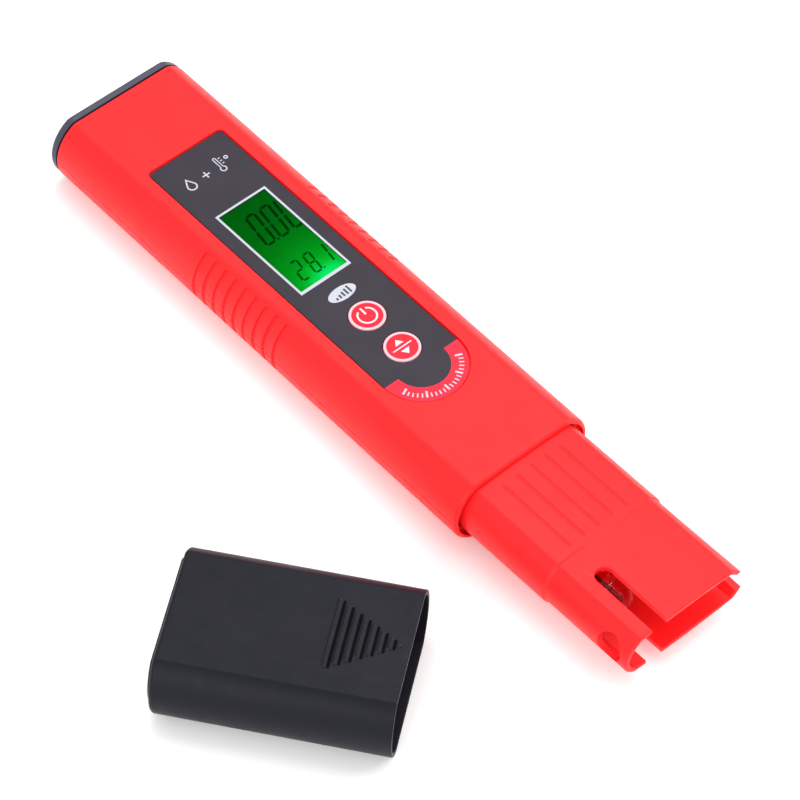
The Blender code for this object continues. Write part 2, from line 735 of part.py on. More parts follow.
def make_probe_housing(section, material):
    """The red housing below the collar, with its seal, its ridges and its slotted guard."""
    housing = loft("probe_housing", section, probe_path(), material["red"])
    shape_towards_tip(housing)
    middle = SPIGOT_SEAL_AT + SEAL_WIDTH / 2
    make_seal("probe_seal", section, middle, SPIGOT_INSET + SEAL_HALF_HEIGHT, material["rubber"])
    cut_guard(housing, material["red"])
    bores = (
        (ELECTRODE_Y, SENSOR_HEIGHT, ELECTRODE_RADIUS),
        (SENSOR_Y, SENSOR_HEIGHT, SENSOR_RADIUS),
        (JUNCTION_Y, JUNCTION_HEIGHT, JUNCTION_RADIUS),
    )
    for number, (y, height, radius) in enumerate(bores):
        at = (along(BULKHEAD[0]) - 2, y, height)
        profile = [(0, radius + BORE_GAP), (CUTTER_REACH, radius + BORE_GAP)]
        cut(housing, turned(f"bulkhead_bore_{number}", profile, at, (1, 0, 0), material["red"]))
    middle = along(sum(RIDGE_SPAN) / 2)
    half_length = (RIDGE_SPAN[1] - RIDGE_SPAN[0]) / 2
    floor = MID_HEIGHT + PROBE_THICK / 2 - RIDGE_DEPTH
    for number in range(-2, 3):
        outline = stadium((number * RIDGE_PITCH, 0), half_length, RIDGE_WIDTH / 2)
        lengthwise = [(middle + y, x) for x, y in reversed(outline)]
        cut(housing, plate(f"ridge_cutter_{number}", lengthwise, floor, BODY_THICK + 2, material["red"]))


def cut_guard(housing, material):
    """The slot through both faces of the guard, its open side and the round hole in the other side."""
    beyond = along(TIP_AT) + 5
    half = SLOT_WIDTH / 2
    slot = arc((along(SLOT_END) + half, SLOT_Y), half, 90, 270, 12)
    slot += [(beyond, SLOT_Y - half), (beyond, SLOT_Y + half)]
    cut(housing, plate("slot_cutter", slot, -2, BODY_THICK + 2, material))
    bottom, top = SIDE_OPENING_HEIGHTS
    low = (along(SIDE_OPENING_AT), SIDE_OPENING_Y, bottom)
    high = (beyond, SIDE_OPENING_Y + CUTTER_REACH, top)
    cut(housing, box("side_opening_cutter", low, high, material))
    at = (along(SIDE_HOLE_AT), -PROBE_WIDTH / 2 - CUTTER_REACH / 2, SIDE_HOLE_Z)
    profile = [(0, SIDE_HOLE_RADIUS), (CUTTER_REACH, SIDE_HOLE_RADIUS)]
    cut(housing, turned("side_hole_cutter", profile, at, (0, 1, 0), material))


def bulb_profile(start):
    """A thin glass cup: from its rim along the outside to the pole, and back along the inside."""
    steps = 5
    centre = BULB_TIP - ELECTRODE_RADIUS
    pole_radius = 0.05
    halves = []
    for radius in (ELECTRODE_RADIUS, ELECTRODE_RADIUS - BULB_WALL):
        half = [(along(start), radius)]
        for step in range(steps):
            angle = math.pi / 2 * step / steps
            half.append((along(centre + radius * math.sin(angle)), radius * math.cos(angle)))
        half.append((along(centre + radius), pole_radius))
        halves.append(half)
    return halves[0] + halves[1][::-1]


def make_sensors(material):
    """The glass electrode with its silver wire, the reference junction and the temperature probe."""
    axis_at = (0, ELECTRODE_Y, SENSOR_HEIGHT)
    radius = ELECTRODE_RADIUS
    bore = radius - STEM_WALL
    stem = [(along(STEM_START), radius), (along(STEM_END), radius), (along(STEM_END), bore)]
    stem += [(along(STEM_START + STEM_FLOOR), bore)]
    turned("electrode_stem", stem, axis_at, (1, 0, 0), material["glass"])
    turned("glass_bulb", bulb_profile(STEM_END + BULB_GAP), axis_at, (1, 0, 0), material["glass"])
    points = [(along(station), ELECTRODE_Y, SENSOR_HEIGHT) for station in WIRE_SPAN]
    tube("silver_wire", points, WIRE_RADIUS, material["silver"])
    start, end = JUNCTION_SPAN
    at = (0, JUNCTION_Y, JUNCTION_HEIGHT)
    junction = [(along(start), JUNCTION_RADIUS), (along(end - 0.3), JUNCTION_RADIUS)]
    junction += [(along(end), JUNCTION_RADIUS - 0.3)]
    turned("reference_junction", junction, at, (1, 0, 0), material["ceramic"])
    start, end = SENSOR_SPAN
    sensor = [(along(start), SENSOR_RADIUS), (along(end - 1.4), SENSOR_RADIUS)]
    sensor += [(along(end - 0.4), 0.75 * SENSOR_RADIUS), (along(end), 0.3 * SENSOR_RADIUS)]
    turned("temperature_probe", sensor, (0, SENSOR_Y, SENSOR_HEIGHT), (1, 0, 0), material["steel"])


def make_cables(material):
    """The two leads from the circuit board to the sensors, inside the housing."""
    start = along(BOARD_END + 0.6)
    top = BOARD_TOP - CABLE_DROP
    routes = {
        "electrode_cable": (-CABLE_Y, ELECTRODE_Y, along(STEM_START - CABLE_GAP), ELECTRODE_CABLE_RADIUS),
        "temperature_cable": (CABLE_Y, SENSOR_Y, along(SENSOR_SPAN[0] - CABLE_GAP), SENSOR_CABLE_RADIUS),
    }
    for name, (y, end_y, end, radius) in routes.items():
        points = []
        steps = 16
        for step in range(steps + 1):
            share = step / steps
            ease = share * share * (3 - 2 * share)
            x = start + (end - start) * share
            points.append((x, y + (end_y - y) * ease, top + (SENSOR_HEIGHT - top) * ease))
        tube(name, points, radius, material["cable"])


def make_cap(material):
    """The loose storage cap. Its own X runs from the closed end to the mouth."""
    section = Section(CAP_WIDTH, CAP_FLAT, BODY_THICK, CAP_CREASE, MID_HEIGHT)
    holder = bpy.data.objects.new("cap_axis", None)
    holder.location = (CAP_AT[0] * MM, CAP_AT[1] * MM, 0)
    holder.rotation_euler = (0, 0, CAP_YAW)
    bpy.context.collection.objects.link(holder)
    start = -along(0)
    rim = start + CAP_FIELD_RISE
    mouth = start + CAP_LENGTH
    path = [(start, CAP_FIELD_INSET + 0.4), (rim, CAP_FIELD_INSET), (rim, CAP_ROUNDING + 0.3)]
    path += [(rim + drop, side) for drop, side in reversed(fillet(CAP_ROUNDING, FILLET_STEPS + 1))]
    path += [(mouth - CAP_LIP, 0.0), (mouth, CAP_LIP), (mouth, CAP_WALL)]
    path += [(rim + CAP_END_WALL, CAP_WALL)]
    cap = loft("cap_shell", section, path, material["black"])
    for number in range(CAP_RIB_COUNT):
        x = CAP_LENGTH - CAP_RIB_TIP - number * CAP_RIB_PITCH
        half = CAP_RIB_WIDTH / 2 + 0.01
        half += (CAP_RIB_LONGEST / 2 - half) * number / (CAP_RIB_COUNT - 1)
        outline = stadium((x, 0), half, CAP_RIB_WIDTH / 2)
        top = BODY_THICK + CAP_RIB_HEIGHT
        rib = plate(f"cap_rib_{number}", outline, BODY_THICK - 0.5, top, material["black"])
        rib.parent = holder
        join(cap, rib)
    cap.parent = holder


def clear_scene():
    """Removes every object of the startup scene."""
    for obj in list(bpy.data.objects):
        bpy.data.objects.remove(obj)


def main():
    """Builds every node of the pen and its cap."""
    clear_scene()
    material = make_materials()
    body = Section(BODY_WIDTH, BODY_FLAT, BODY_THICK, BODY_CREASE, MID_HEIGHT)
    probe = Section(PROBE_WIDTH, PROBE_FLAT, PROBE_THICK, PROBE_CREASE, MID_HEIGHT)
    make_front_shell(body, material)
    make_rear_shell(body, material)
    make_battery_cap(body, material)
    make_battery_tray(material)
    make_cells(material)
    make_battery_contacts(material)
    make_panel(material)
    make_display(material)
    make_buttons(material)
    make_board(material)
    make_probe_housing(probe, material)
    make_sensors(material)
    make_cables(material)
    make_cap(material)


main()
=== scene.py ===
"""The looks of a pH test pen and its loose storage cap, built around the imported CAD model.

The pen lies along X with its battery end at -X, its probe tip at +X and its display facing +Z.
Sizes are in millimetres until a mesh is made. Stations are measured along the pen from just
inside the top edge of its red body. The storage cap has its own X axis, from its closed end to
its mouth.
"""

import json
import math

import bmesh
import bpy
from mathutils import Matrix, Vector


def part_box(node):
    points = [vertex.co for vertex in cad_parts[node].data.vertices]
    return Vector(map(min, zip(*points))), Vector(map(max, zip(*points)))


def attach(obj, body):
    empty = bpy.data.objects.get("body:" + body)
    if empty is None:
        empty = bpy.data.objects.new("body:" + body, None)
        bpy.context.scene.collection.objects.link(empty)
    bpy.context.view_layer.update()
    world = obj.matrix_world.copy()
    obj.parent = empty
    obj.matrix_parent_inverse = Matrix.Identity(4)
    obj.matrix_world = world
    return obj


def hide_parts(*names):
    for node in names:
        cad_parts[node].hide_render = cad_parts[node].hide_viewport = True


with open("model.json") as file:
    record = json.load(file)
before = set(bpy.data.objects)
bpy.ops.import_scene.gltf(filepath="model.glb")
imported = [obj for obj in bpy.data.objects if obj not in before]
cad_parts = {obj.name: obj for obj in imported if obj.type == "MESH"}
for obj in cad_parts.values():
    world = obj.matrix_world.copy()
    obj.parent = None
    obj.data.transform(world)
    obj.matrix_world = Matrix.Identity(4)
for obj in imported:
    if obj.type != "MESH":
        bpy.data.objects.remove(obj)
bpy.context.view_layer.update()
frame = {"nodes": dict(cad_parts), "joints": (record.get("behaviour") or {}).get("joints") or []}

MM = 0.001


def box_mm(node):
    """Lowest and highest corner of a CAD node, in millimetres."""
    low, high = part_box(node)
    return low / MM, high / MM


# Places and sizes read from the frame
FRONT_LOW, FRONT_HIGH = box_mm("front_shell")
REAR_LOW, _ = box_mm("rear_shell")
BODY_EDGE = -0.5
BODY_START = FRONT_LOW.x - BODY_EDGE
BODY_LENGTH = FRONT_HIGH.x - BODY_START
BODY_WIDTH = FRONT_HIGH.y - FRONT_LOW.y
BODY_TOP = FRONT_HIGH.z
BODY_THICK = FRONT_HIGH.z - REAR_LOW.z
MIDDLE = REAR_LOW.z + BODY_THICK / 2
PARTING_GAP = 2 * (FRONT_LOW.z - MIDDLE)
END_LOW = box_mm("battery_cap")[0]
PANEL_LOW, PANEL_HIGH = box_mm("face_panel")
WINDOW_LOW, WINDOW_HIGH = box_mm("display_window")
LCD_LOW, LCD_HIGH = box_mm("lcd_glass")
PROBE_LOW, PROBE_HIGH = box_mm("probe_housing")
TRAY_LOW, TRAY_HIGH = box_mm("battery_tray")
SPRING_LOW, SPRING_HIGH = box_mm("battery_spring")

# Outlines that the boxes don't give
BODY_FLAT = 26.9
BODY_CREASE = 3.0
BODY_WALL = 1.9
COLLAR_DEPTH = 1.6
COLLAR_WALL = 1.0
RIM_RADIUS = 0.9
GRIP_COUNT = 9
GRIP_START = 47.9
GRIP_PITCH = 3.38
GRIP_WIDTH = 1.4
GRIP_DEPTH = 0.55
GRIP_FADE = 0.6
PANEL_CORNER = 1.0
PANEL_MARGIN = 0.3
PANEL_EDGE = 0.1
POCKET_LIP = 0.12
LOBE_RADIUS = 6.5
PRINT_THICK = 0.02
PRINT_SINK = 0.01
PROBE_WIDTH = 33.6
PROBE_FLAT = 25.2
PROBE_THICK = 15.5
PROBE_CREASE = 1.8
PROBE_CROWN = 0.3
PROBE_WALL = 1.6
PROBE_STEP = 159.5
TIP_AT = PROBE_HIGH.x - BODY_START
TIP_THINNING = 0.2
TIP_SPREAD = 0.11
SPIGOT_INSET = 0.95
GUARD_WALL = 1.3
GUARD_LIFT = 0.45
GUARD_INSET = 0.4
GUARD_TAPER = 0.3
BULKHEAD = (157.6, 161.0)
RIDGE_PITCH = 4.03
RIDGE_SPAN = (136.4, 157.8)
SLOT_Y = -7.75
SLOT_HALF = 2.1
SLOT_END = 165.6
SIDE_OPENING_AT = 164.0
SIDE_OPENING_Y = 12.6
SIDE_OPENING_HEIGHTS = (7.9, 13.9)
SIDE_HOLE = (178.9, 11.1, 3.3)
CAP_LENGTH = 51.3
CAP_WIDTH = 38.0
CAP_FLAT = 27.6
CAP_WALL = 1.0
CAP_FLOOR = 1.25
CAP_RIB_COUNT = 8
CAP_RIB_PITCH = 2.03
CAP_RIB_HALF = 0.55
CAP_RIB_TIP = 2.4
CAP_RIB_LONGEST = 17.9
CAP_RIB_HEIGHT = 0.3
CAP_RIB_RADIUS = 0.7
# Half width of each painted shade strip between the cap's ribs.
CAP_SHADE_STRIP_HALF = 0.34
CAP_CREASE = 0.9
CAP_FIELD_RISE = 0.6
CAP_FIELD_INSET = 2.25
CAP_ROUNDING = 1.0
CAP_LIP = 0.2
FIT_GAP = 0.3
END_EDGE = 0.25
END_GAP = 0.55
END_SIDE = 0.1
END_ROUNDING = 0.8
END_CAVITY = -1.9
PLUG_END = 6.0
PLUG_WALL = 1.6
PLUG_GROOVE = (2.0, 3.9)
PROBE_GROOVE = (126.0, 127.9)
SEAL_DEPTH = 0.8
SEAL_HALF_WIDTH = 0.6
SEAL_HALF_HEIGHT = 0.3
TRAY_START = 6.6
TRAY_WALL = 0.95
TRAY_DISC_START = 6.4
TRAY_DISC_THICK = 1.2
TONGUE_END = 7.0
TONGUE_HALF_WIDTH = 5.0
TONGUE_HALF_HEIGHT = 4.2
SPRING_GAUGE = 0.3
SPRING_TURNS = 2.5
SPRING_RADII = (4.2, 2.6)
WIRE_RADIUS = 0.35
STEM_WALL = 0.7
STEM_FLOOR = 0.8
BULB_WALL = 0.4
BORE_GAP = 0.15
SENSOR_ROUNDING = 1.5
FLOOR_GAP = 0.05
BUTTON_RADIUS = 4.12
RIM_WIDTH = 0.66
SCALE_TICKS = 21
DIGIT_SLANT = 0.146
SEGMENT_THICK = 0.03
LOBE_X = PANEL_HIGH.x - PANEL_HIGH.y
WINDOW_FIT = 0.08
WINDOW_X = (WINDOW_LOW.x - WINDOW_FIT, WINDOW_HIGH.x + WINDOW_FIT)
WINDOW_Y = (WINDOW_LOW.y - WINDOW_FIT, WINDOW_HIGH.y + WINDOW_FIT)
FOCAL_PIXELS = 3986.36
FRAME_PIXELS = 800

SIDE_STEPS = 20
CREASE_STEPS = 8
FLAT_STEPS = 6
ROUND_STEPS = 64
FILLET_STEPS = 4
ALL_ROUND = 2 * math.pi


def along(station):
    """X, in millimetres, of a station along the pen."""
    return BODY_START + station


def smooth_step(share):
    share = min(max(share, 0.0), 1.0)
    return share * share * (3 - 2 * share)


# Shapes


class Section:
    """An outline with crowned front and back, two bulging sides, and rounded creases."""

    def __init__(self, width, flat, thick, crease, crown=0.0):
        self.half_thick = thick / 2
        bulge = (width - flat) / 2
        self.radius = (self.half_thick**2 + bulge**2) / (2 * bulge)
        self.centre = width / 2 - self.radius
        self.crease = crease
        self.crown = crown

    def quarter(self, inset, cut=0.0, lip=0.0):
        """(y, height, groove share, step share) from the side up to the middle of the front."""
        side = self.radius - inset
        half = self.half_thick - self.crown - inset
        crease = max(self.crease - inset, 0.25)
        crease_y = self.centre + math.sqrt((side - crease) ** 2 - (half - crease) ** 2)
        joint = math.atan2(half - crease, crease_y - self.centre)
        first = math.asin(cut / side)
        points = []
        if lip:
            sunk = side - lip
            low = math.asin(cut / sunk)
            points.append((self.centre + sunk * math.cos(low), sunk * math.sin(low), 1.0, 1.0))
            first += lip / side
        for step in range(SIDE_STEPS + 1):
            angle = first + (joint - first) * (1 - (1 - step / SIDE_STEPS) ** 1.5)
            fade = smooth_step((joint - angle) * side / GRIP_FADE)
            points.append((self.centre + side * math.cos(angle), side * math.sin(angle), fade, 1.0))
        for step in range(1, CREASE_STEPS + 1):
            angle = joint + (math.pi / 2 - joint) * step / CREASE_STEPS
            y = crease_y + crease * math.cos(angle)
            points.append((y, half - crease + crease * math.sin(angle), 0.0, 1.0))
        for step in range(1, FLAT_STEPS + 1):
            y = crease_y * (1 - step / FLAT_STEPS)
            rise = self.crown * (1 - (y / crease_y) ** 2)
            points.append((y, half + rise, 0.0, 1 - 0.6 * smooth_step(1 - y / crease_y)))
        return points

    def half(self, inset, cut=0.0, lip=0.0):
        """The front half of the outline, from the +Y side over the front to the -Y side."""
        right = self.quarter(inset, cut, lip)
        return right + [(-point[0], *point[1:]) for point in reversed(right[:-1])]

    def loop(self, inset):
        """The whole outline."""
        front = self.half(inset)
        return front + [(-point[0], -point[1], *point[2:]) for point in front[1:-1]]


def sunk_ring(x, outline, deeper, share_index):
    """One ring of a loft, sunk from one outline towards a deeper one by each point's share."""
    ring = []
    for point, deep in zip(outline, deeper):
        share = point[share_index]
        y = point[0] + (deep[0] - point[0]) * share
        z = point[1] + (deep[1] - point[1]) * share
        ring.append(Vector((x, y, MIDDLE + z)))
    return ring


def finish_mesh(bm, name, material, sharp=32):
    """A new object from a bmesh in millimetres, smooth but for its sharp edges."""
    bmesh.ops.recalc_face_normals(bm, faces=bm.faces)
    bmesh.ops.scale(bm, vec=(MM, MM, MM), verts=bm.verts)
    mesh = bpy.data.meshes.new(name)
    bm.to_mesh(mesh)
    bm.free()
    if material:
        mesh.materials.append(material)
    mesh.shade_smooth()
    mesh.set_sharp_from_angle(angle=math.radians(sharp))
    obj = bpy.data.objects.new(name, mesh)
    bpy.context.scene.collection.objects.link(obj)
    return obj


def skin(bm, rings, ring_closed=True, path_closed=False):
    """Faces between rings of points. Ring ends and path ends that stay open get a flat face."""
    grid = [[bm.verts.new(point) for point in ring] for ring in rings]
    count = len(rings)
    size = len(rings[0])
    for i in range(count if path_closed else count - 1):
        near = grid[i]
        far = grid[(i + 1) % count]
        for j in range(size if ring_closed else size - 1):
            k = (j + 1) % size
            bm.faces.new((near[j], near[k], far[k], far[j]))
    if not path_closed:
        bm.faces.new(grid[0])
        bm.faces.new(grid[-1])
    if not ring_closed:
        bm.faces.new([ring[0] for ring in grid])
        bm.faces.new([ring[-1] for ring in grid])


def half_shell(name, section, path, front, material):
    """Half of a tube, cut at mid height, around a closed path of (station, inset, sunk sides)."""
    bm = bmesh.new()
    rings = []
    for station, inset, sunk in path:
        lip = 0.1 if inset < BODY_WALL else 0.001
        outline = section.half(inset, PARTING_GAP / 2, lip)
        deeper = section.half(inset + sunk, PARTING_GAP / 2, lip)
        rings.append(sunk_ring(along(station), outline, deeper, 2))
    if not front:
        for ring in rings:
            for point in ring:
                point.z = 2 * MIDDLE - point.z
    skin(bm, rings, ring_closed=False, path_closed=True)
    return finish_mesh(bm, name, material)


def loft(name, section, path, material, closed=False):
    """A solid through a path of (x, inset, extra inset that the middle of the front takes less of)."""
    bm = bmesh.new()
    rings = []
    for x, inset, step in path:
        rings.append(sunk_ring(x, section.loop(inset), section.loop(inset + step), 3))
    skin(bm, rings, path_closed=closed)
    return finish_mesh(bm, name, material)


def turned(name, profile, at, direction, material, steps=ROUND_STEPS, closed=False):
    """A body of revolution. The profile is (distance along, radius), from one end to the other."""
    bm = bmesh.new()
    axis = Vector(direction).normalized()
    side = axis.orthogonal().normalized()
    up = axis.cross(side)
    rings = []
    for distance, radius in profile:
        ring = []
        for step in range(steps):
            angle = ALL_ROUND * step / steps
            out = side * math.cos(angle) + up * math.sin(angle)
            ring.append(Vector(at) + axis * distance + out * radius)
        rings.append(ring)
    skin(bm, rings, path_closed=closed)
    return finish_mesh(bm, name, material)


def flat_ring(outline, z):
    """The (x, y) points of an outline, at this height."""
    return [Vector((x, y, z)) for x, y in outline]


def stacked(name, outline, levels, material, sideways=False):
    """A solid of (z, offset) levels, each the (x, y) outline that outline(offset) gives.

    Sideways, the levels go along Y and the outlines are (x, z).
    """
    bm = bmesh.new()
    rings = [flat_ring(outline(offset), level) for level, offset in levels]
    if sideways:
        rings = [[point.xzy for point in ring] for ring in rings]
    skin(bm, rings)
    return finish_mesh(bm, name, material)


def fillet(radius, steps=FILLET_STEPS):
    """(distance in from one face, distance in from the other) along a quarter-round edge."""
    turns = [math.pi / 2 * step / steps for step in range(steps + 1)]
    return [(radius * (1 - math.sin(turn)), radius * (1 - math.cos(turn))) for turn in turns]


def raised(bottom, top, edge):
    """Levels of a plate with a rounded top edge."""
    return [(bottom, 0.0)] + [(top - drop, -inset) for drop, inset in fillet(edge)]


def flared(bottom, surface, lip, above=3.0):
    """Levels of a cutter that leaves a rounded edge where it leaves a surface."""
    levels = [(bottom, 0.0)]
    levels += [(surface - drop, inset) for drop, inset in fillet(lip)]
    return levels + [(surface + above, lip)]


def through(low, high, lip, above=3.0):
    """Levels of a cutter that leaves a rounded edge at both surfaces it goes through."""
    levels = [(low - above, lip)]
    levels += [(low + drop, inset) for drop, inset in reversed(fillet(lip))]
    levels += [(high - drop, inset) for drop, inset in fillet(lip)]
    return levels + [(high + above, lip)]


def arc(centre, radius, start, end, steps):
    """Points along an arc, with both ends, angles in degrees."""
    points = []
    for step in range(steps + 1):
        angle = math.radians(start + (end - start) * step / steps)
        points.append((centre[0] + radius * math.cos(angle), centre[1] + radius * math.sin(angle)))
    return points


def rectangle(span_x, span_y, corner=0.0):
    """An outline function of a rectangle with round corners."""

    def outline(offset):
        radius = max(corner + offset, 0.03)
        points = []
        for turn, (i, j) in enumerate(((1, 1), (0, 1), (0, 0), (1, 0))):
            x = span_x[i] + (2 * i - 1) * (offset - radius)
            y = span_y[j] + (2 * j - 1) * (offset - radius)
            points += arc((x, y), radius, 90 * turn, 90 * turn + 90, 4)
        return points

    return outline


def circle(x, y, radius, steps=ROUND_STEPS):
    """An outline function of a circle."""
    return lambda offset: arc((x, y), radius + offset, 0, 360 * (1 - 1 / steps), steps - 1)


def stadium(x, y, half_length, half_width, steps=10):
    """An outline function, along Y, with round ends."""
    straight = half_length - half_width

    def outline(offset):
        radius = max(half_width + offset, 0.01)
        top = arc((x, y + straight), radius, 0, 180, steps)
        return top + arc((x, y - straight), radius, 180, 360, steps)

    return outline


def combine(obj, other, operation):
    """Applies a Boolean with another object, and removes that object."""
    modifier = obj.modifiers.new(other.name, "BOOLEAN")
    modifier.operation = operation
    modifier.object = other
    graph = bpy.context.evaluated_depsgraph_get()
    mesh = bpy.data.meshes.new_from_object(obj.evaluated_get(graph))
    obj.modifiers.clear()
    obj.data = mesh
    bpy.data.objects.remove(other)
    return obj


def cut(obj, cutter):
    return combine(obj, cutter, "DIFFERENCE")


def join(obj, other):
    return combine(obj, other, "UNION")


def soften(obj, sharp=32):
    """Smooth shading that keeps flat faces flat."""
    obj.data.shade_smooth()
    obj.data.set_sharp_from_angle(angle=math.radians(sharp))
    modifier = obj.modifiers.new("flat_faces_stay_flat", "WEIGHTED_NORMAL")
    modifier.keep_sharp = True
    return obj


def place(obj, body, slot, *nodes):
    """Fixes a piece to a body and hides the CAD nodes that it stands for. The slot, its finish, is not
    used.
    """
    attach(obj, body)
    if nodes:
        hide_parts(*nodes)
    return obj


# Materials


class Nodes:
    """A material's node tree, with short ways to add what most of them need."""

    def __init__(self, name):
        self.material = bpy.data.materials.new(name)
        self.material.use_nodes = True
        self.tree = self.material.node_tree
        self.shader = self.tree.nodes["Principled BSDF"]
        self.place = self.tree.nodes.new("ShaderNodeTexCoord").outputs["Object"]

    def add(self, kind, inputs=None, **settings):
        node = self.tree.nodes.new(kind)
        for key, value in settings.items():
            setattr(node, key, value)
        for key, value in (inputs or {}).items():
            self.feed(node.inputs[key], value)
        return node

    def feed(self, socket, value):
        if isinstance(value, bpy.types.NodeSocket):
            self.tree.links.new(value, socket)
        else:
            socket.default_value = value

    def set(self, **inputs):
        for key, value in inputs.items():
            self.feed(self.shader.inputs[key.replace("_", " ")], value)

    def math(self, operation, a, b=0.0):
        return self.add("ShaderNodeMath", {0: a, 1: b}, operation=operation).outputs[0]

    def noise(self, scale, detail=2.0, roughness=0.5, vector=None):
        """Noise whose spots are 1/scale millimetres across."""
        inputs = {"Vector": vector or self.place, "Scale": scale / MM}
        inputs.update({"Detail": detail, "Roughness": roughness})
        return self.add("ShaderNodeTexNoise", inputs).outputs["Fac"]

    def spread(self, value, low, high, start=0.3, end=0.7):
        """A value between start and end mapped to low and high."""
        inputs = {"Value": value, "From Min": start, "From Max": end, "To Min": low, "To Max": high}
        return self.add("ShaderNodeMapRange", inputs).outputs["Result"]

    def blend(self, factor, first, second):
        node = self.add("ShaderNodeMix", {"Factor": factor}, data_type="RGBA")
        self.feed(node.inputs[6], first)
        self.feed(node.inputs[7], second)
        return node.outputs[2]

    def bump(self, height, distance, strength=1.0):
        inputs = {"Height": height, "Distance": distance * MM, "Strength": strength}
        return self.add("ShaderNodeBump", inputs).outputs["Normal"]

    def worn_edges(self, colour, worn, amount):
        """A colour that turns towards a worn one along convex edges, in patches."""
        pointiness = self.add("ShaderNodeNewGeometry").outputs["Pointiness"]
        edge = self.spread(pointiness, 0.0, 1.0, 0.53, 0.62)
        patches = self.spread(self.noise(0.4, 3.0), 0.2, 1.0)
        factor = self.math("MULTIPLY", self.math("MULTIPLY", edge, patches), amount)
        return self.blend(factor, colour, worn)


def rgba(colour, shade=1.0):
    return (*[min(part * shade, 1.0) for part in colour], 1.0)


def plastic(
    name, colour, roughness, grain=3.0, grain_depth=0.004, vary=0.06, specular=0.5, wear=0.12
):
    """Moulded plastic: a fine spark-eroded grain, faint flow marks and uneven gloss."""
    nodes = Nodes(name)
    flow = nodes.add("ShaderNodeMapping", {"Vector": nodes.place, "Scale": (0.3, 1.0, 1.0)})
    cloud = nodes.spread(nodes.noise(0.09, 3.0, vector=flow.outputs[0]), 0.0, 1.0)
    tint = nodes.blend(cloud, rgba(colour, 1 - vary), rgba(colour, 1 + vary))
    worn = rgba([0.25 + 0.75 * part for part in colour])
    tint = nodes.worn_edges(tint, worn, wear)
    texture = nodes.noise(grain, 4.0, 0.6)
    gloss = nodes.spread(nodes.noise(0.25, 3.0), roughness - 0.05, roughness + 0.05)
    nodes.set(Base_Color=tint, Roughness=gloss, Specular_IOR_Level=specular)
    nodes.set(Normal=nodes.bump(texture, grain_depth))
    return nodes.material


def printed_film(name):
    """The panel's film: dark grey, with the crimson half ring around its lobe, under a fine matt coat."""
    nodes = Nodes(name)
    split = nodes.add("ShaderNodeSeparateXYZ", {"Vector": nodes.place}).outputs
    lobe_x = (PANEL_HIGH.x - PANEL_HIGH.y) * MM
    past = nodes.math("SUBTRACT", split["X"], lobe_x)
    squares = nodes.math("ADD", nodes.math("POWER", past, 2.0), nodes.math("POWER", split["Y"], 2.0))
    outside = nodes.math("GREATER_THAN", squares, (LOBE_RADIUS * MM) ** 2)
    band = nodes.math("MULTIPLY", outside, nodes.math("GREATER_THAN", past, 0.0))
    cloud = nodes.spread(nodes.noise(0.15, 3.0), 0.0, 1.0)
    grey = nodes.blend(cloud, rgba(FILM_GREY, 0.9), rgba(FILM_GREY, 1.1))
    crimson = nodes.blend(cloud, rgba(CRIMSON, 0.94), rgba(CRIMSON, 1.04))
    nodes.set(Base_Color=nodes.blend(band, grey, crimson), Specular_IOR_Level=0.25)
    nodes.set(Roughness=nodes.spread(nodes.noise(0.3, 3.0), 0.4, 0.5))
    nodes.set(Normal=nodes.bump(nodes.noise(5.0, 3.0), 0.002))
    return nodes.material


def printed_ink(name, colour, roughness=0.45):
    """Screen-printed ink, slightly uneven."""
    nodes = Nodes(name)
    patches = nodes.spread(nodes.noise(2.0, 3.0), 0.0, 1.0)
    nodes.set(Base_Color=nodes.blend(patches, rgba(colour, 0.94), rgba(colour, 1.03)))
    nodes.set(Roughness=nodes.spread(nodes.noise(1.2), roughness - 0.05, roughness + 0.05))
    nodes.set(Normal=nodes.bump(nodes.noise(8.0), 0.002))
    return nodes.material


def lit_display(name, strength):
    """The display's green light, brightest by the lamp behind its lower edge."""
    nodes = Nodes(name)
    lamp = Vector((along(LAMP_STATION), LAMP_Y, LCD_HIGH.z)) * MM
    inputs = {0: nodes.place, 1: lamp}
    distance = nodes.add("ShaderNodeVectorMath", inputs, operation="DISTANCE").outputs["Value"]
    grain = nodes.spread(nodes.noise(0.35, 2.0), -0.4 * MM, 0.4 * MM)
    reach = nodes.spread(nodes.math("ADD", distance, grain), 0.0, 1.0, 0.0, LAMP_REACH * MM)
    ramp = nodes.add("ShaderNodeValToRGB", {"Fac": reach})
    stops = ramp.color_ramp.elements
    for number, (share, colour) in enumerate(LCD_GREENS):
        stop = stops[number] if number < 2 else stops.new(share)
        stop.position = share
        stop.color = rgba(colour)
    nodes.set(Base_Color=rgba((0.0, 0.004, 0.001)), Roughness=0.35, Specular_IOR_Level=0.0)
    nodes.set(Emission_Color=ramp.outputs["Color"], Emission_Strength=strength)
    return nodes.material


def clear(name, tint, roughness, index, ripple):
    """Clear plastic or glass, with the faintest ripple."""
    nodes = Nodes(name)
    patches = nodes.spread(nodes.noise(0.3, 2.0), 0.0, 1.0)
    nodes.set(Base_Color=nodes.blend(patches, rgba(tint, 0.97), rgba(tint)))
    nodes.set(Roughness=nodes.spread(nodes.noise(0.6), roughness, roughness + 15 * ripple))
    nodes.set(Transmission_Weight=1.0, IOR=index)
    nodes.set(Normal=nodes.bump(nodes.noise(0.4), ripple))
    return nodes.material


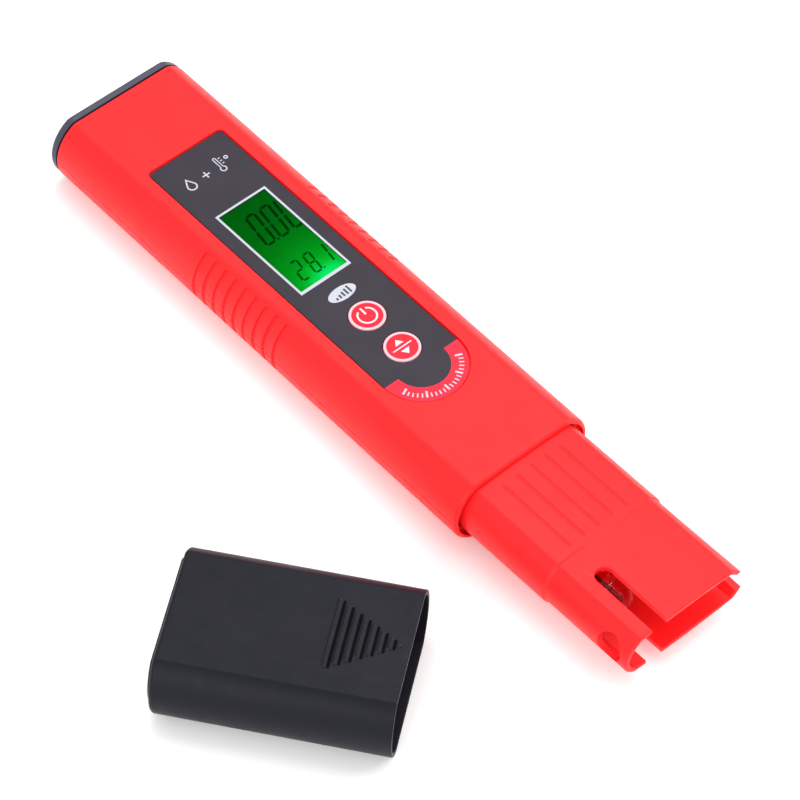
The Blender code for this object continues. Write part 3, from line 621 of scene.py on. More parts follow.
def metal(name, colour, roughness, streaks=(0.15, 1.0, 1.0)):
    """Rolled or drawn metal, with fine streaks in its gloss."""
    nodes = Nodes(name)
    drawn = nodes.add("ShaderNodeMapping", {"Vector": nodes.place, "Scale": streaks})
    streak = nodes.noise(3.0, 4.0, vector=drawn.outputs[0])
    patches = nodes.spread(nodes.noise(0.3, 3.0), 0.0, 1.0)
    nodes.set(Base_Color=nodes.blend(patches, rgba(colour, 0.88), rgba(colour, 1.05)))
    nodes.set(Roughness=nodes.spread(streak, roughness - 0.06, roughness + 0.1), Metallic=1.0)
    nodes.set(Normal=nodes.bump(streak, 0.003))
    return nodes.material


def board_mask(name):
    """Green solder mask over copper tracks that run along the board."""
    nodes = Nodes(name)
    stretched = nodes.add("ShaderNodeMapping", {"Vector": nodes.place, "Scale": (0.12, 1.0, 1.0)})
    tracks = nodes.noise(0.7, 1.0, vector=stretched.outputs[0])
    bands = nodes.math("PINGPONG", nodes.math("MULTIPLY", tracks, 9.0), 0.5)
    copper = nodes.spread(bands, 0.0, 1.0, 0.2, 0.26)
    nodes.set(Base_Color=nodes.blend(copper, rgba((0.012, 0.09, 0.035)), rgba((0.03, 0.2, 0.07))))
    nodes.set(Roughness=nodes.spread(nodes.noise(0.5), 0.25, 0.4))
    nodes.set(Normal=nodes.bump(copper, 0.03))
    return nodes.material


RED = (0.93, 0.014, 0.016)
SLATE = (0.05, 0.05, 0.075)
BLACK = (0.0085, 0.0085, 0.0145)
FILM_GREY = (0.025, 0.0195, 0.03)
CRIMSON = (0.86, 0.014, 0.04)
BUTTON_RED = (0.9, 0.012, 0.03)
PALE_PINK = (0.86, 0.46, 0.52)
SYMBOL_PINK = (0.95, 0.62, 0.68)
PRINT_WHITE = (0.47, 0.49, 0.56)
LAMP_STATION = 72.0
LAMP_Y = 2.0
LAMP_REACH = 32.0
LCD_GREENS = (
    (0.08, (0.004, 0.93, 0.17)),
    (1.0, (0.0004, 0.1, 0.003)),
    (0.19, (0.002, 0.51, 0.025)),
    (0.27, (0.001, 0.35, 0.012)),
    (0.36, (0.0006, 0.27, 0.008)),
    (0.5, (0.0004, 0.19, 0.005)),
    (0.66, (0.0004, 0.13, 0.004)),
)

MATERIALS = {
    "red": plastic("red_abs_moulded", RED, 0.42, specular=0.22),
    "slate": plastic("slate_abs_moulded", SLATE, 0.36, specular=0.3),
    "black": plastic("black_abs_moulded", BLACK, 0.42, vary=0.06, specular=0.12),
    # Near-black painted shade for the strips between the storage cap's ribs.
    "recess": plastic("black_abs_recess", (0.002, 0.002, 0.003), 0.6, specular=0.04, wear=0.0),
    "tray": plastic("black_abs_tray", (0.03, 0.03, 0.033), 0.5, vary=0.1),
    "film": printed_film("printed_film"),
    "white_ink": printed_ink("white_ink", PRINT_WHITE),
    "dark_ink": printed_ink("dark_ink", (0.02, 0.018, 0.028)),
    "lcd": lit_display("display_lit_green", 1.0),
    "segment": lit_display("display_segments", 0.2),
    "faint_segment": lit_display("faint_segments", 0.8),
    "button": plastic("button_crimson", BUTTON_RED, 0.4, specular=0.2),
    "rim": plastic("button_rim_pale", PALE_PINK, 0.4, vary=0.03, specular=0.3),
    "symbol": printed_ink("button_symbol_ink", SYMBOL_PINK),
    "window": clear("window_clear", (0.99, 1.0, 0.99), 0.0, 1.01, 0.0001),
    # The pink tint of this glass is painted reflection of the red housing around the sensors.
    "glass": clear("bulb_glass_pink_reflection", (0.97, 0.86, 0.88), 0.0, 1.16, 0.001),
    "board": board_mask("board_green_mask"),
    "chip": plastic("chip_epoxy_black", (0.02, 0.02, 0.022), 0.55, vary=0.1),
    "rubber": plastic("silicone_rubber_dark", (0.03, 0.03, 0.032), 0.62, grain=1.5, vary=0.1),
    "steel": metal("steel_rolled", (0.62, 0.62, 0.63), 0.28),
    "nickel": metal("cell_nickel", (0.7, 0.69, 0.66), 0.22, (1.0, 0.2, 0.2)),
    "silver": metal("silver_drawn", (0.78, 0.76, 0.72), 0.3),
    # Dark reddish silver: painted shade and painted red reflection on the wire inside the red guard.
    "shaded_red_silver": metal("silver_painted_shade_red", (0.3, 0.1, 0.12), 0.5),
    "light": plastic("light_guide_white", (0.75, 0.85, 0.78), 0.3, vary=0.03),
    "ceramic": plastic("ceramic_porous", (0.82, 0.8, 0.74), 0.75, grain=1.2, grain_depth=0.02),
    "cable": plastic("cable_jacket_grey", (0.05, 0.05, 0.055), 0.5, grain=2.0, vary=0.1),
}

BODY = Section(BODY_WIDTH, BODY_FLAT, BODY_THICK, BODY_CREASE)
PROBE = Section(PROBE_WIDTH, PROBE_FLAT, PROBE_THICK, PROBE_CREASE, PROBE_CROWN)

# Red body


def grip_rings():
    """(station, inset, sunk) rings across the grooves of the side grips."""
    shape = ((-0.5, 0.0), (-0.42, 0.08), (-0.33, 0.5), (-0.24, 0.9), (-0.12, 1.0))
    shape += tuple((-place, depth) for place, depth in reversed(shape))
    rings = []
    for number in range(GRIP_COUNT):
        middle = GRIP_START + number * GRIP_PITCH
        rings += [(middle + place * GRIP_WIDTH, 0.0, depth * GRIP_DEPTH) for place, depth in shape]
    return rings


def body_path():
    """The wall of the red body: outside from the battery end to the collar, then back inside."""
    path = [(BODY_EDGE + drop, inset, 0.0) for drop, inset in reversed(fillet(END_EDGE))]
    path += grip_rings()
    path += [(BODY_LENGTH - drop, inset, 0.0) for drop, inset in fillet(RIM_RADIUS, 8)]
    path += [
        (BODY_LENGTH, COLLAR_WALL, 0.0),
        (BODY_LENGTH - COLLAR_DEPTH, COLLAR_WALL, 0.0),
        (BODY_LENGTH - COLLAR_DEPTH, BODY_WALL, 0.0),
        (BODY_EDGE, BODY_WALL, 0.0),
    ]
    return path


def panel_outline(offset):
    """Outline of the display panel: straight sides, small corners at the top, a half-round end."""
    half = PANEL_HIGH.y + offset
    start = PANEL_LOW.x - offset
    corner = PANEL_CORNER + offset
    outline = arc((LOBE_X, 0), half, -90, 90, 48)
    outline += arc((start + corner, half - corner), corner, 90, 180, 8)
    return outline + arc((start + corner, corner - half), corner, 180, 270, 8)


def button_place(name):
    """Centre X, flange radius and top of a button."""
    low, high = box_mm(f"{name}_button")
    return (low.x + high.x) / 2, (high.x - low.x) / 2, high.z


def make_front_shell():
    """The front half of the red body, with the pocket for the panel and the holes through its floor."""
    shell = half_shell("front_shell_moulded", BODY, body_path(), True, MATERIALS["red"])
    floor = PANEL_LOW.z - FLOOR_GAP
    levels = flared(floor, BODY_TOP, POCKET_LIP)
    cut(shell, stacked("pocket_cutter", lambda offset: panel_outline(offset + PANEL_MARGIN), levels, None))
    window = rectangle((LCD_LOW.x, LCD_HIGH.x), (LCD_LOW.y, LCD_HIGH.y))
    cut(shell, stacked("lcd_cutter", window, [(LCD_LOW.z - 1, FIT_GAP), (BODY_TOP, FIT_GAP)], None))
    for name in ("power", "calibration"):
        x = button_place(name)[0]
        hole = circle(x, 0, BUTTON_RADIUS + FIT_GAP)
        cut(shell, stacked("button_cutter", hole, [(LCD_LOW.z - 1, 0), (BODY_TOP, 0)], None))
    place(soften(shell), "pen", "red_abs", "front_shell")


def make_rear_shell():
    """The rear half of the red body, with the two bosses that hold the circuit board."""
    shell = half_shell("rear_shell_moulded", BODY, body_path(), False, MATERIALS["red"])
    board_low, _ = box_mm("circuit_board")
    for name in ("left", "right"):
        low, high = box_mm(f"board_screw_{name}")
        at = ((low.x + high.x) / 2, (low.y + high.y) / 2, 0)
        top = board_low.z - 0.2
        join(shell, turned("boss", [(1.0, 2.3), (top, 2.2)], at, (0, 0, 1), None, 32))
        cut(shell, turned("bore", [(3.0, 1.1), (top + 2, 1.1)], at, (0, 0, 1), None, 32))
    place(soften(shell), "pen", "red_abs", "rear_shell")


# Battery end


def make_battery_cap():
    """The slate end cap with its plug, and the seal in the plug's groove."""
    plug = BODY_WALL + FIT_GAP
    cavity = plug + PLUG_WALL
    end = END_LOW.x - BODY_START
    seam = BODY_EDGE - END_GAP
    parts = [(END_CAVITY, cavity), (PLUG_END - 0.2, cavity), (PLUG_END, cavity - 0.2)]
    parts += [(PLUG_END, plug + 0.3), (PLUG_END - 0.3, plug)]
    parts += [*reversed(seal_groove(PLUG_GROOVE, plug)), (seam, plug)]
    parts += [(seam - drop, END_SIDE + inset) for drop, inset in fillet(0.15)]
    parts += [(end + drop, END_SIDE + inset) for drop, inset in fillet(END_ROUNDING, 8)]
    path = [(along(station), inset, 0.0) for station, inset in parts]
    cap = soften(loft("battery_cap_moulded", BODY, path, MATERIALS["slate"]))
    place(cap, "battery_carrier", "slate_abs", "battery_cap")
    seal = ring_seal("battery_cap_seal_ring", BODY, PLUG_GROOVE, plug + 0.27)
    place(seal, "battery_carrier", "rubber", "battery_cap_seal")


def seal_groove(span, inset):
    """(station, inset) points of a groove for a round seal."""
    low, high = span
    deep = inset + SEAL_DEPTH
    return [(low, inset), (low, deep), (high, deep), (high, inset)]


def ring_seal(name, section, groove, inset):
    """A rubber ring that follows an outline, with an oval cross-section."""
    path = []
    for step in range(16):
        angle = ALL_ROUND * step / 16
        x = along(sum(groove) / 2) + SEAL_HALF_WIDTH * math.sin(angle)
        path.append((x, inset + SEAL_HALF_HEIGHT * math.cos(angle), 0.0))
    return loft(name, section, path, MATERIALS["rubber"], closed=True)


def make_battery_tray():
    """The cradle for the button cells, with its end disc and the tongue into the cap."""
    outer = (TRAY_HIGH.y - TRAY_LOW.y) / 2
    inner = outer - TRAY_WALL
    lip = TRAY_WALL / 2
    tip_y = (outer - lip) * math.cos(math.radians(30))
    tip_z = (outer - lip) * math.sin(math.radians(30))
    outline = arc((0, 0), outer, 150, 390, 48)
    outline += arc((tip_y, tip_z), lip, 30, 210, 8)[1:-1]
    outline += arc((0, 0), inner, 390, 150, 48)
    outline += arc((-tip_y, tip_z), lip, -30, 150, 8)[1:-1]
    bm = bmesh.new()
    ends = (along(TRAY_START), TRAY_HIGH.x)
    skin(bm, [[Vector((x, y, MIDDLE + z)) for y, z in outline] for x in ends])
    tray = finish_mesh(bm, "battery_tray_moulded", MATERIALS["tray"])
    disc = outer - 0.25
    profile = [(0, disc - 0.2), (0.2, disc), (TRAY_DISC_THICK, disc)]
    join(tray, turned("tray_end", profile, (along(TRAY_DISC_START), 0, MIDDLE), (1, 0, 0), None))
    half = TONGUE_HALF_HEIGHT
    tongue = rectangle((TRAY_LOW.x, along(TONGUE_END)), (-TONGUE_HALF_WIDTH, TONGUE_HALF_WIDTH), 0.8)
    levels = [(MIDDLE - half, 0.0)] + raised(MIDDLE - half + 0.2, MIDDLE + half, 0.3)
    join(tray, stacked("tray_tongue", tongue, levels, None))
    place(soften(tray), "battery_carrier", "black_abs", "battery_tray")


def make_cells():
    """Four button cells: a plated can with a rolled edge around a smaller lid."""
    for number in range(1, 5):
        low, high = box_mm(f"battery_cell_{number}")
        radius = (high.y - low.y) / 2
        length = high.x - low.x
        lid = radius - 1.15
        profile = [(0.0, lid - 0.35), (0.08, lid - 0.1), (0.25, lid), (0.42, lid), (0.42, lid + 0.2)]
        profile += [(0.34, lid + 0.3), (0.34, radius - 0.45)]
        profile += [(0.3 + drop, radius - inset) for drop, inset in reversed(fillet(0.35))]
        profile += [(length - drop, radius - inset) for drop, inset in fillet(0.3)]
        profile += [(length, lid), (length - 0.06, lid - 0.1)]
        at = (low.x, 0, MIDDLE)
        cell = turned(f"button_cell_{number}", profile, at, (1, 0, 0), MATERIALS["nickel"])
        place(soften(cell), "battery_carrier", "steel", f"battery_cell_{number}")


def wire(name, points, radius, material, sides=4):
    """A round wire through a list of points."""
    curve = bpy.data.curves.new(name, "CURVE")
    curve.dimensions = "3D"
    curve.bevel_depth = radius * MM
    curve.bevel_resolution = sides
    curve.use_fill_caps = True
    spline = curve.splines.new("POLY")
    spline.points.add(len(points) - 1)
    for target, point in zip(spline.points, points):
        target.co = (*(Vector(point) * MM), 1)
    curve.materials.append(material)
    obj = bpy.data.objects.new(name, curve)
    bpy.context.scene.collection.objects.link(obj)
    return obj


def make_battery_spring():
    """The conical coil behind the cells."""
    start = SPRING_LOW.x + SPRING_GAUGE
    reach = SPRING_HIGH.x - SPRING_LOW.x - 2 * SPRING_GAUGE
    wide, narrow = SPRING_RADII
    points = []
    steps = 150
    for step in range(steps + 1):
        share = step / steps
        angle = ALL_ROUND * SPRING_TURNS * share
        radius = wide + (narrow - wide) * share
        y = radius * math.cos(angle)
        points.append((start + reach * share, y, MIDDLE + radius * math.sin(angle)))
    spring = wire("battery_spring_coil", points, SPRING_GAUGE, MATERIALS["steel"])
    place(spring, "battery_carrier", "steel", "battery_spring")


# Panel, display and buttons


def make_panel():
    """The printed panel with its window and button holes."""
    levels = raised(PANEL_LOW.z, PANEL_HIGH.z, PANEL_EDGE)
    panel = stacked("face_panel_printed", panel_outline, levels, MATERIALS["film"])
    opening = rectangle(WINDOW_X, WINDOW_Y, 0.08)
    cut(panel, stacked("window_cutter", opening, through(PANEL_LOW.z, PANEL_HIGH.z, 0.05), None))
    for name in ("power", "calibration"):
        hole = circle(button_place(name)[0], 0, BUTTON_RADIUS + 0.22)
        cut(panel, stacked("hole_cutter", hole, through(PANEL_LOW.z, PANEL_HIGH.z, 0.08), None))
    place(soften(panel), "pen", "printed_film", "face_panel")
    inset = 0.08
    outline = rectangle(
        (WINDOW_X[0] + inset, WINDOW_X[1] - inset), (WINDOW_Y[0] + inset, WINDOW_Y[1] - inset), 0.1
    )
    levels = raised(WINDOW_LOW.z, WINDOW_HIGH.z, 0.06)
    window = stacked("display_window_clear", outline, levels, MATERIALS["window"])
    place(soften(window), "pen", "clear_window", "display_window")


def slab(bm, outline, bottom, top):
    """Adds a thin printed shape with this outline."""
    skin(bm, [flat_ring(outline, z) for z in (bottom, top)])


def ribbon(bm, outer, inner, bottom, top):
    """Adds a thin printed band between two outlines of as many points."""
    rings = ((outer, bottom), (outer, top), (inner, top), (inner, bottom))
    skin(bm, [flat_ring(points, z) for points, z in rings], path_closed=True)


def upright(x, y, points):
    """Points (right, up) as the reader of the display sees them, as (x, y) points of the pen."""
    return [(x - up, y + right) for right, up in points]


def bar(right, up, width, height):
    """A small rectangle, as (right, up) points around its centre."""
    half = (width / 2, height / 2)
    return [(right + i * half[0], up + j * half[1]) for i, j in ((-1, -1), (1, -1), (1, 1), (-1, 1))]


def droplet(radius, tip):
    """A drop with its point up, as (right, up) points."""
    opening = math.degrees(math.acos(radius / tip))
    points = arc((0, 0), radius, 90 + opening, 450 - opening, 30)
    return points + [(0.0, tip)]


def droplet_mark(bm, x, y, bottom, top):
    """An outlined drop that stands for the liquid under test."""
    outer = upright(x, y, droplet(1.25, 2.6))
    inner = upright(x, y, droplet(0.9, 1.95))
    ribbon(bm, outer, inner, bottom, top)


def thermometer_mark(bm, x, y, bottom, top):
    """A thermometer with three short graduations."""
    tube_high = 2.35
    bulb = arc((0, -1.05), 0.85, 120, 420, 24)
    outer = bulb + arc((0, tube_high), 0.45, 0, 180, 10)
    bulb = arc((0, -1.05), 0.55, 114, 426, 24)
    inner = bulb + arc((0, tube_high), 0.2, 0, 180, 10)
    ribbon(bm, upright(x, y, outer), upright(x, y, inner), bottom, top)
    for number in range(3):
        points = bar(1.05, 0.3 + 0.85 * number, 0.55, 0.26)
        slab(bm, upright(x, y, points), bottom, top)


def print_marks():
    """White print: the frame around the window, the marks above it and the scale around the lobe."""
    bottom = PANEL_HIGH.z - PRINT_SINK
    top = PANEL_HIGH.z + PRINT_THICK
    bm = bmesh.new()
    spans = ((WINDOW_X[0] - 0.6, WINDOW_X[1] + 0.85), (WINDOW_Y[0] - 0.57, WINDOW_Y[1] + 0.57))
    ribbon(bm, rectangle(*spans, 0.1)(0.0), rectangle(WINDOW_X, WINDOW_Y, 0.05)(0.04), bottom, top)
    x = along(30.4)
    droplet_mark(bm, x + 0.6, -5.1, bottom, top)
    cross = ((0.17, 1.0), (0.17, 0.17), (1.0, 0.17))
    cross += tuple((right, -up) for right, up in reversed(cross))
    cross += tuple((-right, -up) for right, up in cross)
    slab(bm, upright(x, -0.6, cross), bottom, top)
    thermometer_mark(bm, x, 3.6, bottom, top)
    ring = arc((0, 0), 0.55, 0, 345, 23)
    hole = arc((0, 0), 0.25, 0, 345, 23)
    ribbon(bm, upright(x - 1.3, 6.1, ring), upright(x - 1.3, 6.1, hole), bottom, top)
    for number in range(SCALE_TICKS):
        angle = math.radians(-66 + 132 * number / (SCALE_TICKS - 1))
        long = number % 5 == 0
        outline = []
        for reach, side in ((7.6 if long else 8.2, -1), (9.3, -1), (9.3, 1), (7.6 if long else 8.2, 1)):
            half = 0.24 if long else 0.15
            px = LOBE_X + reach * math.cos(angle) - side * half * math.sin(angle)
            outline.append((px, reach * math.sin(angle) + side * half * math.cos(angle)))
        slab(bm, outline, bottom, top)
    marks = finish_mesh(bm, "panel_print_white", MATERIALS["white_ink"])
    place(marks, "pen", "printed_film")


def make_badge():
    """The white oval below the window, with three dark level bars."""
    bottom = PANEL_HIGH.z - PRINT_SINK
    top = PANEL_HIGH.z + PRINT_THICK
    x = along(75.95)
    bm = bmesh.new()
    oval = []
    for step in range(64):
        angle = ALL_ROUND * step / 64
        oval.append((x + 1.85 * math.cos(angle), 3.65 * math.sin(angle)))
    slab(bm, oval, bottom, top)
    place(finish_mesh(bm, "panel_badge", MATERIALS["white_ink"]), "pen", "printed_film")
    bm = bmesh.new()
    for number in range(5):
        height = 0.7 + 0.35 * number
        points = bar(-1.9 + 0.95 * number, (height - 2.1) / 2, 0.45, height)
        slab(bm, upright(x, 0, points), bottom, top + PRINT_THICK)
    place(finish_mesh(bm, "panel_badge_bars", MATERIALS["dark_ink"]), "pen", "printed_film")


def segments(height, width, stroke):
    """End points of a digit's seven segments, as (right, up), by their usual letters."""
    left = stroke / 2
    right = width - stroke / 2
    low = stroke / 2
    middle = height / 2
    high = height - stroke / 2
    return {
        "a": ((left, high), (right, high)),
        "b": ((right, high), (right, middle)),
        "c": ((right, middle), (right, low)),
        "d": ((left, low), (right, low)),
        "e": ((left, middle), (left, low)),
        "f": ((left, high), (left, middle)),
        "g": ((left, middle), (right, middle)),
    }


def add_digit(bm, lit, station, y, height, width, stroke):
    """Adds the lit segments of one digit, whose lower left corner is at this station and y."""
    bottom = LCD_HIGH.z - PRINT_SINK
    for letter in lit:
        start, end = (Vector(point) for point in segments(height, width, stroke)[letter])
        run = (end - start).normalized()
        side = Vector((-run.y, run.x)) * stroke / 2
        first = start + run * stroke * 0.18
        last = end - run * stroke * 0.18
        near = first + run * stroke / 2
        far = last - run * stroke / 2
        shape = (first, near - side, far - side, last, far + side, near + side)
        leaning = [(point.x + DIGIT_SLANT * point.y, point.y) for point in shape]
        slab(bm, upright(along(station), y, leaning), bottom, LCD_HIGH.z + SEGMENT_THICK)


def make_display():
    """The lit display cell, its segments, and a faint unlit sign."""
    outline = rectangle((LCD_LOW.x, LCD_HIGH.x), (LCD_LOW.y, LCD_HIGH.y), 0.2)
    cell = stacked("lcd_cell", outline, raised(LCD_LOW.z, LCD_HIGH.z, 0.12), MATERIALS["lcd"])
    place(soften(cell), "pen", "lcd", "lcd_glass")
    bm = bmesh.new()
    for number, lit in enumerate(("abcdef", "abcdef", "def")):
        add_digit(bm, lit, 55.0, -3.6 + 3.95 * number, 9.9, 3.05, 0.68)
    for number, lit in enumerate(("abdeg", "abcdefg", "bc")):
        add_digit(bm, lit, 67.75, -4.05 + 3.6 * number, 6.2, 2.3, 0.52)
    bottom = LCD_HIGH.z - PRINT_SINK
    top = LCD_HIGH.z + SEGMENT_THICK
    slab(bm, upright(along(54.65), -0.1, bar(0, 0, 0.55, 0.55)), bottom, top)
    slab(bm, upright(along(67.45), 2.3, bar(0, 0, 0.42, 0.42)), bottom, top)
    digits = finish_mesh(bm, "display_digits", MATERIALS["segment"])
    place(digits, "pen", "lcd")
    bm = bmesh.new()
    slab(bm, upright(along(58.1), -3.5, bar(0, 0, 2.0, 0.45)), bottom, top)
    place(finish_mesh(bm, "display_faint_sign", MATERIALS["faint_segment"]), "pen", "lcd")


def make_button(name, symbol):
    """A round key: flange and stem below, a pale rim around a crimson disc, and a printed symbol."""
    x, flange, top = button_place(name)
    low, _ = box_mm(f"{name}_button")
    at = (x, 0, 0)
    disc = BUTTON_RADIUS - RIM_WIDTH
    disc_top = top - 0.09
    under = low.z + 0.55
    profile = [(low.z, 1.4), (low.z + 0.1, 1.5), (under, 1.5), (under, flange - 0.1)]
    profile += [(under + 0.1, flange), (under + 0.45, flange), (under + 0.55, flange - 0.1)]
    profile += [(under + 0.55, BUTTON_RADIUS), (top - 0.6, BUTTON_RADIUS), (top - 0.6, disc)]
    profile += [(disc_top - drop, disc - inset) for drop, inset in fillet(0.08)]
    profile += [(disc_top, disc * share) for share in (0.75, 0.5, 0.25, 0.01)]
    key = turned(f"{name}_button_key", profile, at, (0, 0, 1), MATERIALS["button"], 96)
    place(soften(key), f"{name}_key", "button_plastic", f"{name}_button")
    profile = [(top - 0.58, disc + 0.02), (top - 0.58, BUTTON_RADIUS)]
    profile += [(top - drop, BUTTON_RADIUS - inset) for drop, inset in fillet(0.2, 6)]
    profile += [(top - drop, disc + 0.02 + inset) for drop, inset in reversed(fillet(0.1))]
    rim = turned(f"{name}_button_rim", profile, at, (0, 0, 1), MATERIALS["rim"], 96, closed=True)
    place(soften(rim), f"{name}_key", "button_plastic")
    bm = bmesh.new()
    symbol(bm, x, disc_top - PRINT_SINK, disc_top + PRINT_THICK)
    mark = finish_mesh(bm, f"{name}_button_symbol", MATERIALS["symbol"])
    place(mark, f"{name}_key", "button_plastic")


def power_symbol(bm, x, bottom, top):
    """The usual open ring with a bar."""
    open_half = 28
    shape = arc((0, 0), 2.35, 90 + open_half, 450 - open_half, 48)
    shape += arc((0, 0), 1.92, 450 - open_half, 90 + open_half, 48)
    slab(bm, upright(x, 0, shape), bottom, top)
    slab(bm, upright(x, 0, bar(0, 1.45, 0.45, 2.0)), bottom, top)


def two_way_symbol(bm, x, bottom, top):
    """A line across, with an up arrow above it and a down arrow below it."""
    slab(bm, upright(x, 0, bar(0, 0, 5.1, 0.3)), bottom, top)
    for way in (1, -1):
        head = [(-1.15, 0.85 * way), (1.15, 0.85 * way), (0.0, 2.35 * way)]
        slab(bm, upright(x, 0, head), bottom, top)


# Probe


def probe_path():
    """The probe housing: from the bulkhead out to the spigot, along the outside, into the guard."""
    inner = PROBE_WALL + SPIGOT_INSET
    start = PROBE_LOW.x - BODY_START
    shoulder = BODY_LENGTH - COLLAR_DEPTH + FIT_GAP
    parts = [(BULKHEAD[0], inner, 0.0), (start, inner, 0.0), (start, SPIGOT_INSET + 0.3, 0.0)]
    parts += [(start + 0.3, SPIGOT_INSET, 0.0)]
    parts += [(*point, 0.0) for point in seal_groove(PROBE_GROOVE, SPIGOT_INSET)]
    parts += [(shoulder, SPIGOT_INSET, 0.0)]
    parts += [(shoulder + drop, inset, 0.0) for drop, inset in reversed(fillet(0.3))]
    for step in range(7):
        share = step / 6
        parts.append((PROBE_STEP + 0.9 * (share - 0.5), 0.0, GUARD_INSET * smooth_step(share)))
    parts += [(TIP_AT - drop, GUARD_TAPER + inset, GUARD_INSET) for drop, inset in fillet(0.45, 6)]
    mouth = GUARD_INSET + GUARD_TAPER + GUARD_WALL
    parts += [(TIP_AT - drop, mouth - inset, 0.0) for drop, inset in reversed(fillet(0.35))]
    parts += [(BULKHEAD[1], GUARD_INSET + GUARD_WALL, 0.0)]
    return [(along(station), inset, step) for station, inset, step in parts]


def shape_towards_tip(obj):
    """Draws the back of the housing towards its front and spreads it, more and more up to the tip."""
    front = MIDDLE + PROBE_THICK / 2
    for vertex in obj.data.vertices:
        station = vertex.co.x / MM - BODY_START
        share = max(0.0, (station - BODY_LENGTH) / (TIP_AT - BODY_LENGTH))
        lift = GUARD_LIFT * max(0.0, (station - PROBE_STEP) / (TIP_AT - PROBE_STEP))
        depth = front - vertex.co.z / MM
        vertex.co.y *= 1 + TIP_SPREAD * share**2 * depth / PROBE_THICK
        vertex.co.z = (front - depth * (1 - TIP_THINNING * share) + lift) * MM
    return obj


def capsule(name, start, end, y, z, radius):
    """A rod along X with round ends."""
    profile = []
    for step in range(9):
        angle = math.pi / 2 * step / 8
        profile.append((start + radius * (1 - math.cos(angle)), max(radius * math.sin(angle), 0.01)))
    profile += [(start + end - distance, around) for distance, around in reversed(profile)]
    return turned(name, profile, (0, y, z), (1, 0, 0), None, 32)


def cut_guard(housing):
    """The slot through both faces of the guard, its open side and the round hole in the other side."""
    tip = PROBE_HIGH.x
    centre = (along(SLOT_END) + SLOT_HALF, SLOT_Y)
    front = MIDDLE + PROBE_THICK / 2 - 0.46
    back = 2 * MIDDLE - front

    def slot(offset):
        half = SLOT_HALF + offset
        ends = [(tip + 5, SLOT_Y - half), (tip + 5, SLOT_Y + half)]
        return arc(centre, half, 90, 270, 24) + ends

    cutter = stacked("slot_cutter", slot, through(back, front, 0.3), None)
    cut(housing, shape_towards_tip(cutter))
    opening = rectangle((along(SIDE_OPENING_AT), tip + 5), SIDE_OPENING_HEIGHTS, 1.0)
    levels = [(SIDE_OPENING_Y, 0.0), (SIDE_OPENING_Y + 8, 0.0)]
    cut(housing, stacked("side_opening_cutter", opening, levels, None, sideways=True))
    hole = circle(along(SIDE_HOLE[0]), SIDE_HOLE[1], SIDE_HOLE[2])
    side = PROBE_WIDTH / 2 + 0.12
    levels = [(-y, offset) for y, offset in flared(side - 4, side - 0.05, 0.35)]
    cut(housing, stacked("side_hole_cutter", hole, levels, None, sideways=True))


def make_probe_housing():
    """The red housing below the collar, with its grooves and the slotted guard around the sensors."""
    housing = loft("probe_housing_moulded", PROBE, probe_path(), MATERIALS["red"])
    shape_towards_tip(housing)
    cut_guard(housing)
    for node in ("electrode_stem", "temperature_probe", "reference_junction"):
        _, _, radius, (_, y, z) = rod_of(node)
        profile = [(0, radius + BORE_GAP), (8, radius + BORE_GAP)]
        at = (along(BULKHEAD[0]) - 2, y, z)
        cut(housing, turned("bulkhead_bore", profile, at, (1, 0, 0), None, 48))
    sink = 0.2
    half_width = 0.42
    radius = (half_width**2 + sink**2) / (2 * sink)
    for number in range(-2, 3):
        y = number * RIDGE_PITCH
        surface = MIDDLE + PROBE_THICK / 2 - PROBE_CROWN * (y / (PROBE_FLAT / 2 - 0.6)) ** 2
        start, end = (along(station) for station in RIDGE_SPAN)
        rod = capsule("ridge", start, end, y, surface - sink + radius, radius)
        cut(housing, shape_towards_tip(rod))
    place(soften(housing), "pen", "red_abs", "probe_housing")
    seal = ring_seal("probe_seal_ring", PROBE, PROBE_GROOVE, SPIGOT_INSET + 0.3)
    place(seal, "pen", "rubber", "probe_seal")


def rod_of(node):
    """Where a round CAD node along X lies: its start, its end, its radius and a point of its axis."""
    low, high = box_mm(node)
    middle = (low + high) / 2
    return low.x, high.x, (high.y - low.y) / 2, (0, middle.y, middle.z)


def rounded_rod(name, node, edge, finish, steps=FILLET_STEPS):
    """A rod with a rounded far end, in place of a round CAD node."""
    start, end, radius, at = rod_of(node)
    profile = [(start, radius)]
    profile += [(end - drop, radius - inset) for drop, inset in fillet(edge, steps)]
    rod = turned(name, profile, at, (1, 0, 0), MATERIALS[finish])
    place(soften(rod), "pen", finish, node)


def make_sensors():
    """The glass electrode with its silver wire, the porous junction and the temperature probe."""
    start, end, radius, at = rod_of("electrode_stem")
    stem = [(start, radius - 0.3), (start + 0.3, radius)]
    stem += [(end - drop, radius - inset) for drop, inset in fillet(0.15)]
    stem += [(end, radius - STEM_WALL), (start + STEM_FLOOR, radius - STEM_WALL)]
    tube = turned("electrode_stem_glass", stem, at, (1, 0, 0), MATERIALS["glass"])
    place(soften(tube), "pen", "glass", "electrode_stem")
    rim, tip, radius, _ = rod_of("glass_bulb")
    profile = [(rim, radius - BULB_WALL), (rim, radius - 0.12), (rim + 0.12, radius)]
    domes = []
    for around in (radius, radius - BULB_WALL):
        turns = [math.pi / 2 * step / 16 for step in range(17)]
        dome = [(tip - radius + around * math.sin(turn), around * math.cos(turn)) for turn in turns]
        domes.append([(x, max(distance, 0.02)) for x, distance in dome])
    profile += domes[0] + domes[1][::-1]
    bulb = turned("glass_bulb_blown", profile, at, (1, 0, 0), MATERIALS["glass"])
    place(soften(bulb), "pen", "glass", "glass_bulb")
    start, end, _, _ = rod_of("silver_wire")
    points = [(x, *at[1:]) for x in (start, end)]
    # The wire's dark reddish finish is painted shade and painted red reflection.
    drawn = wire("silver_wire_drawn", points, WIRE_RADIUS, MATERIALS["shaded_red_silver"])
    place(drawn, "pen", "silver", "silver_wire")
    rounded_rod("reference_junction_rod", "reference_junction", 0.35, "ceramic")
    rounded_rod("temperature_probe_tube", "temperature_probe", SENSOR_ROUNDING, "steel", 10)


# Storage cap


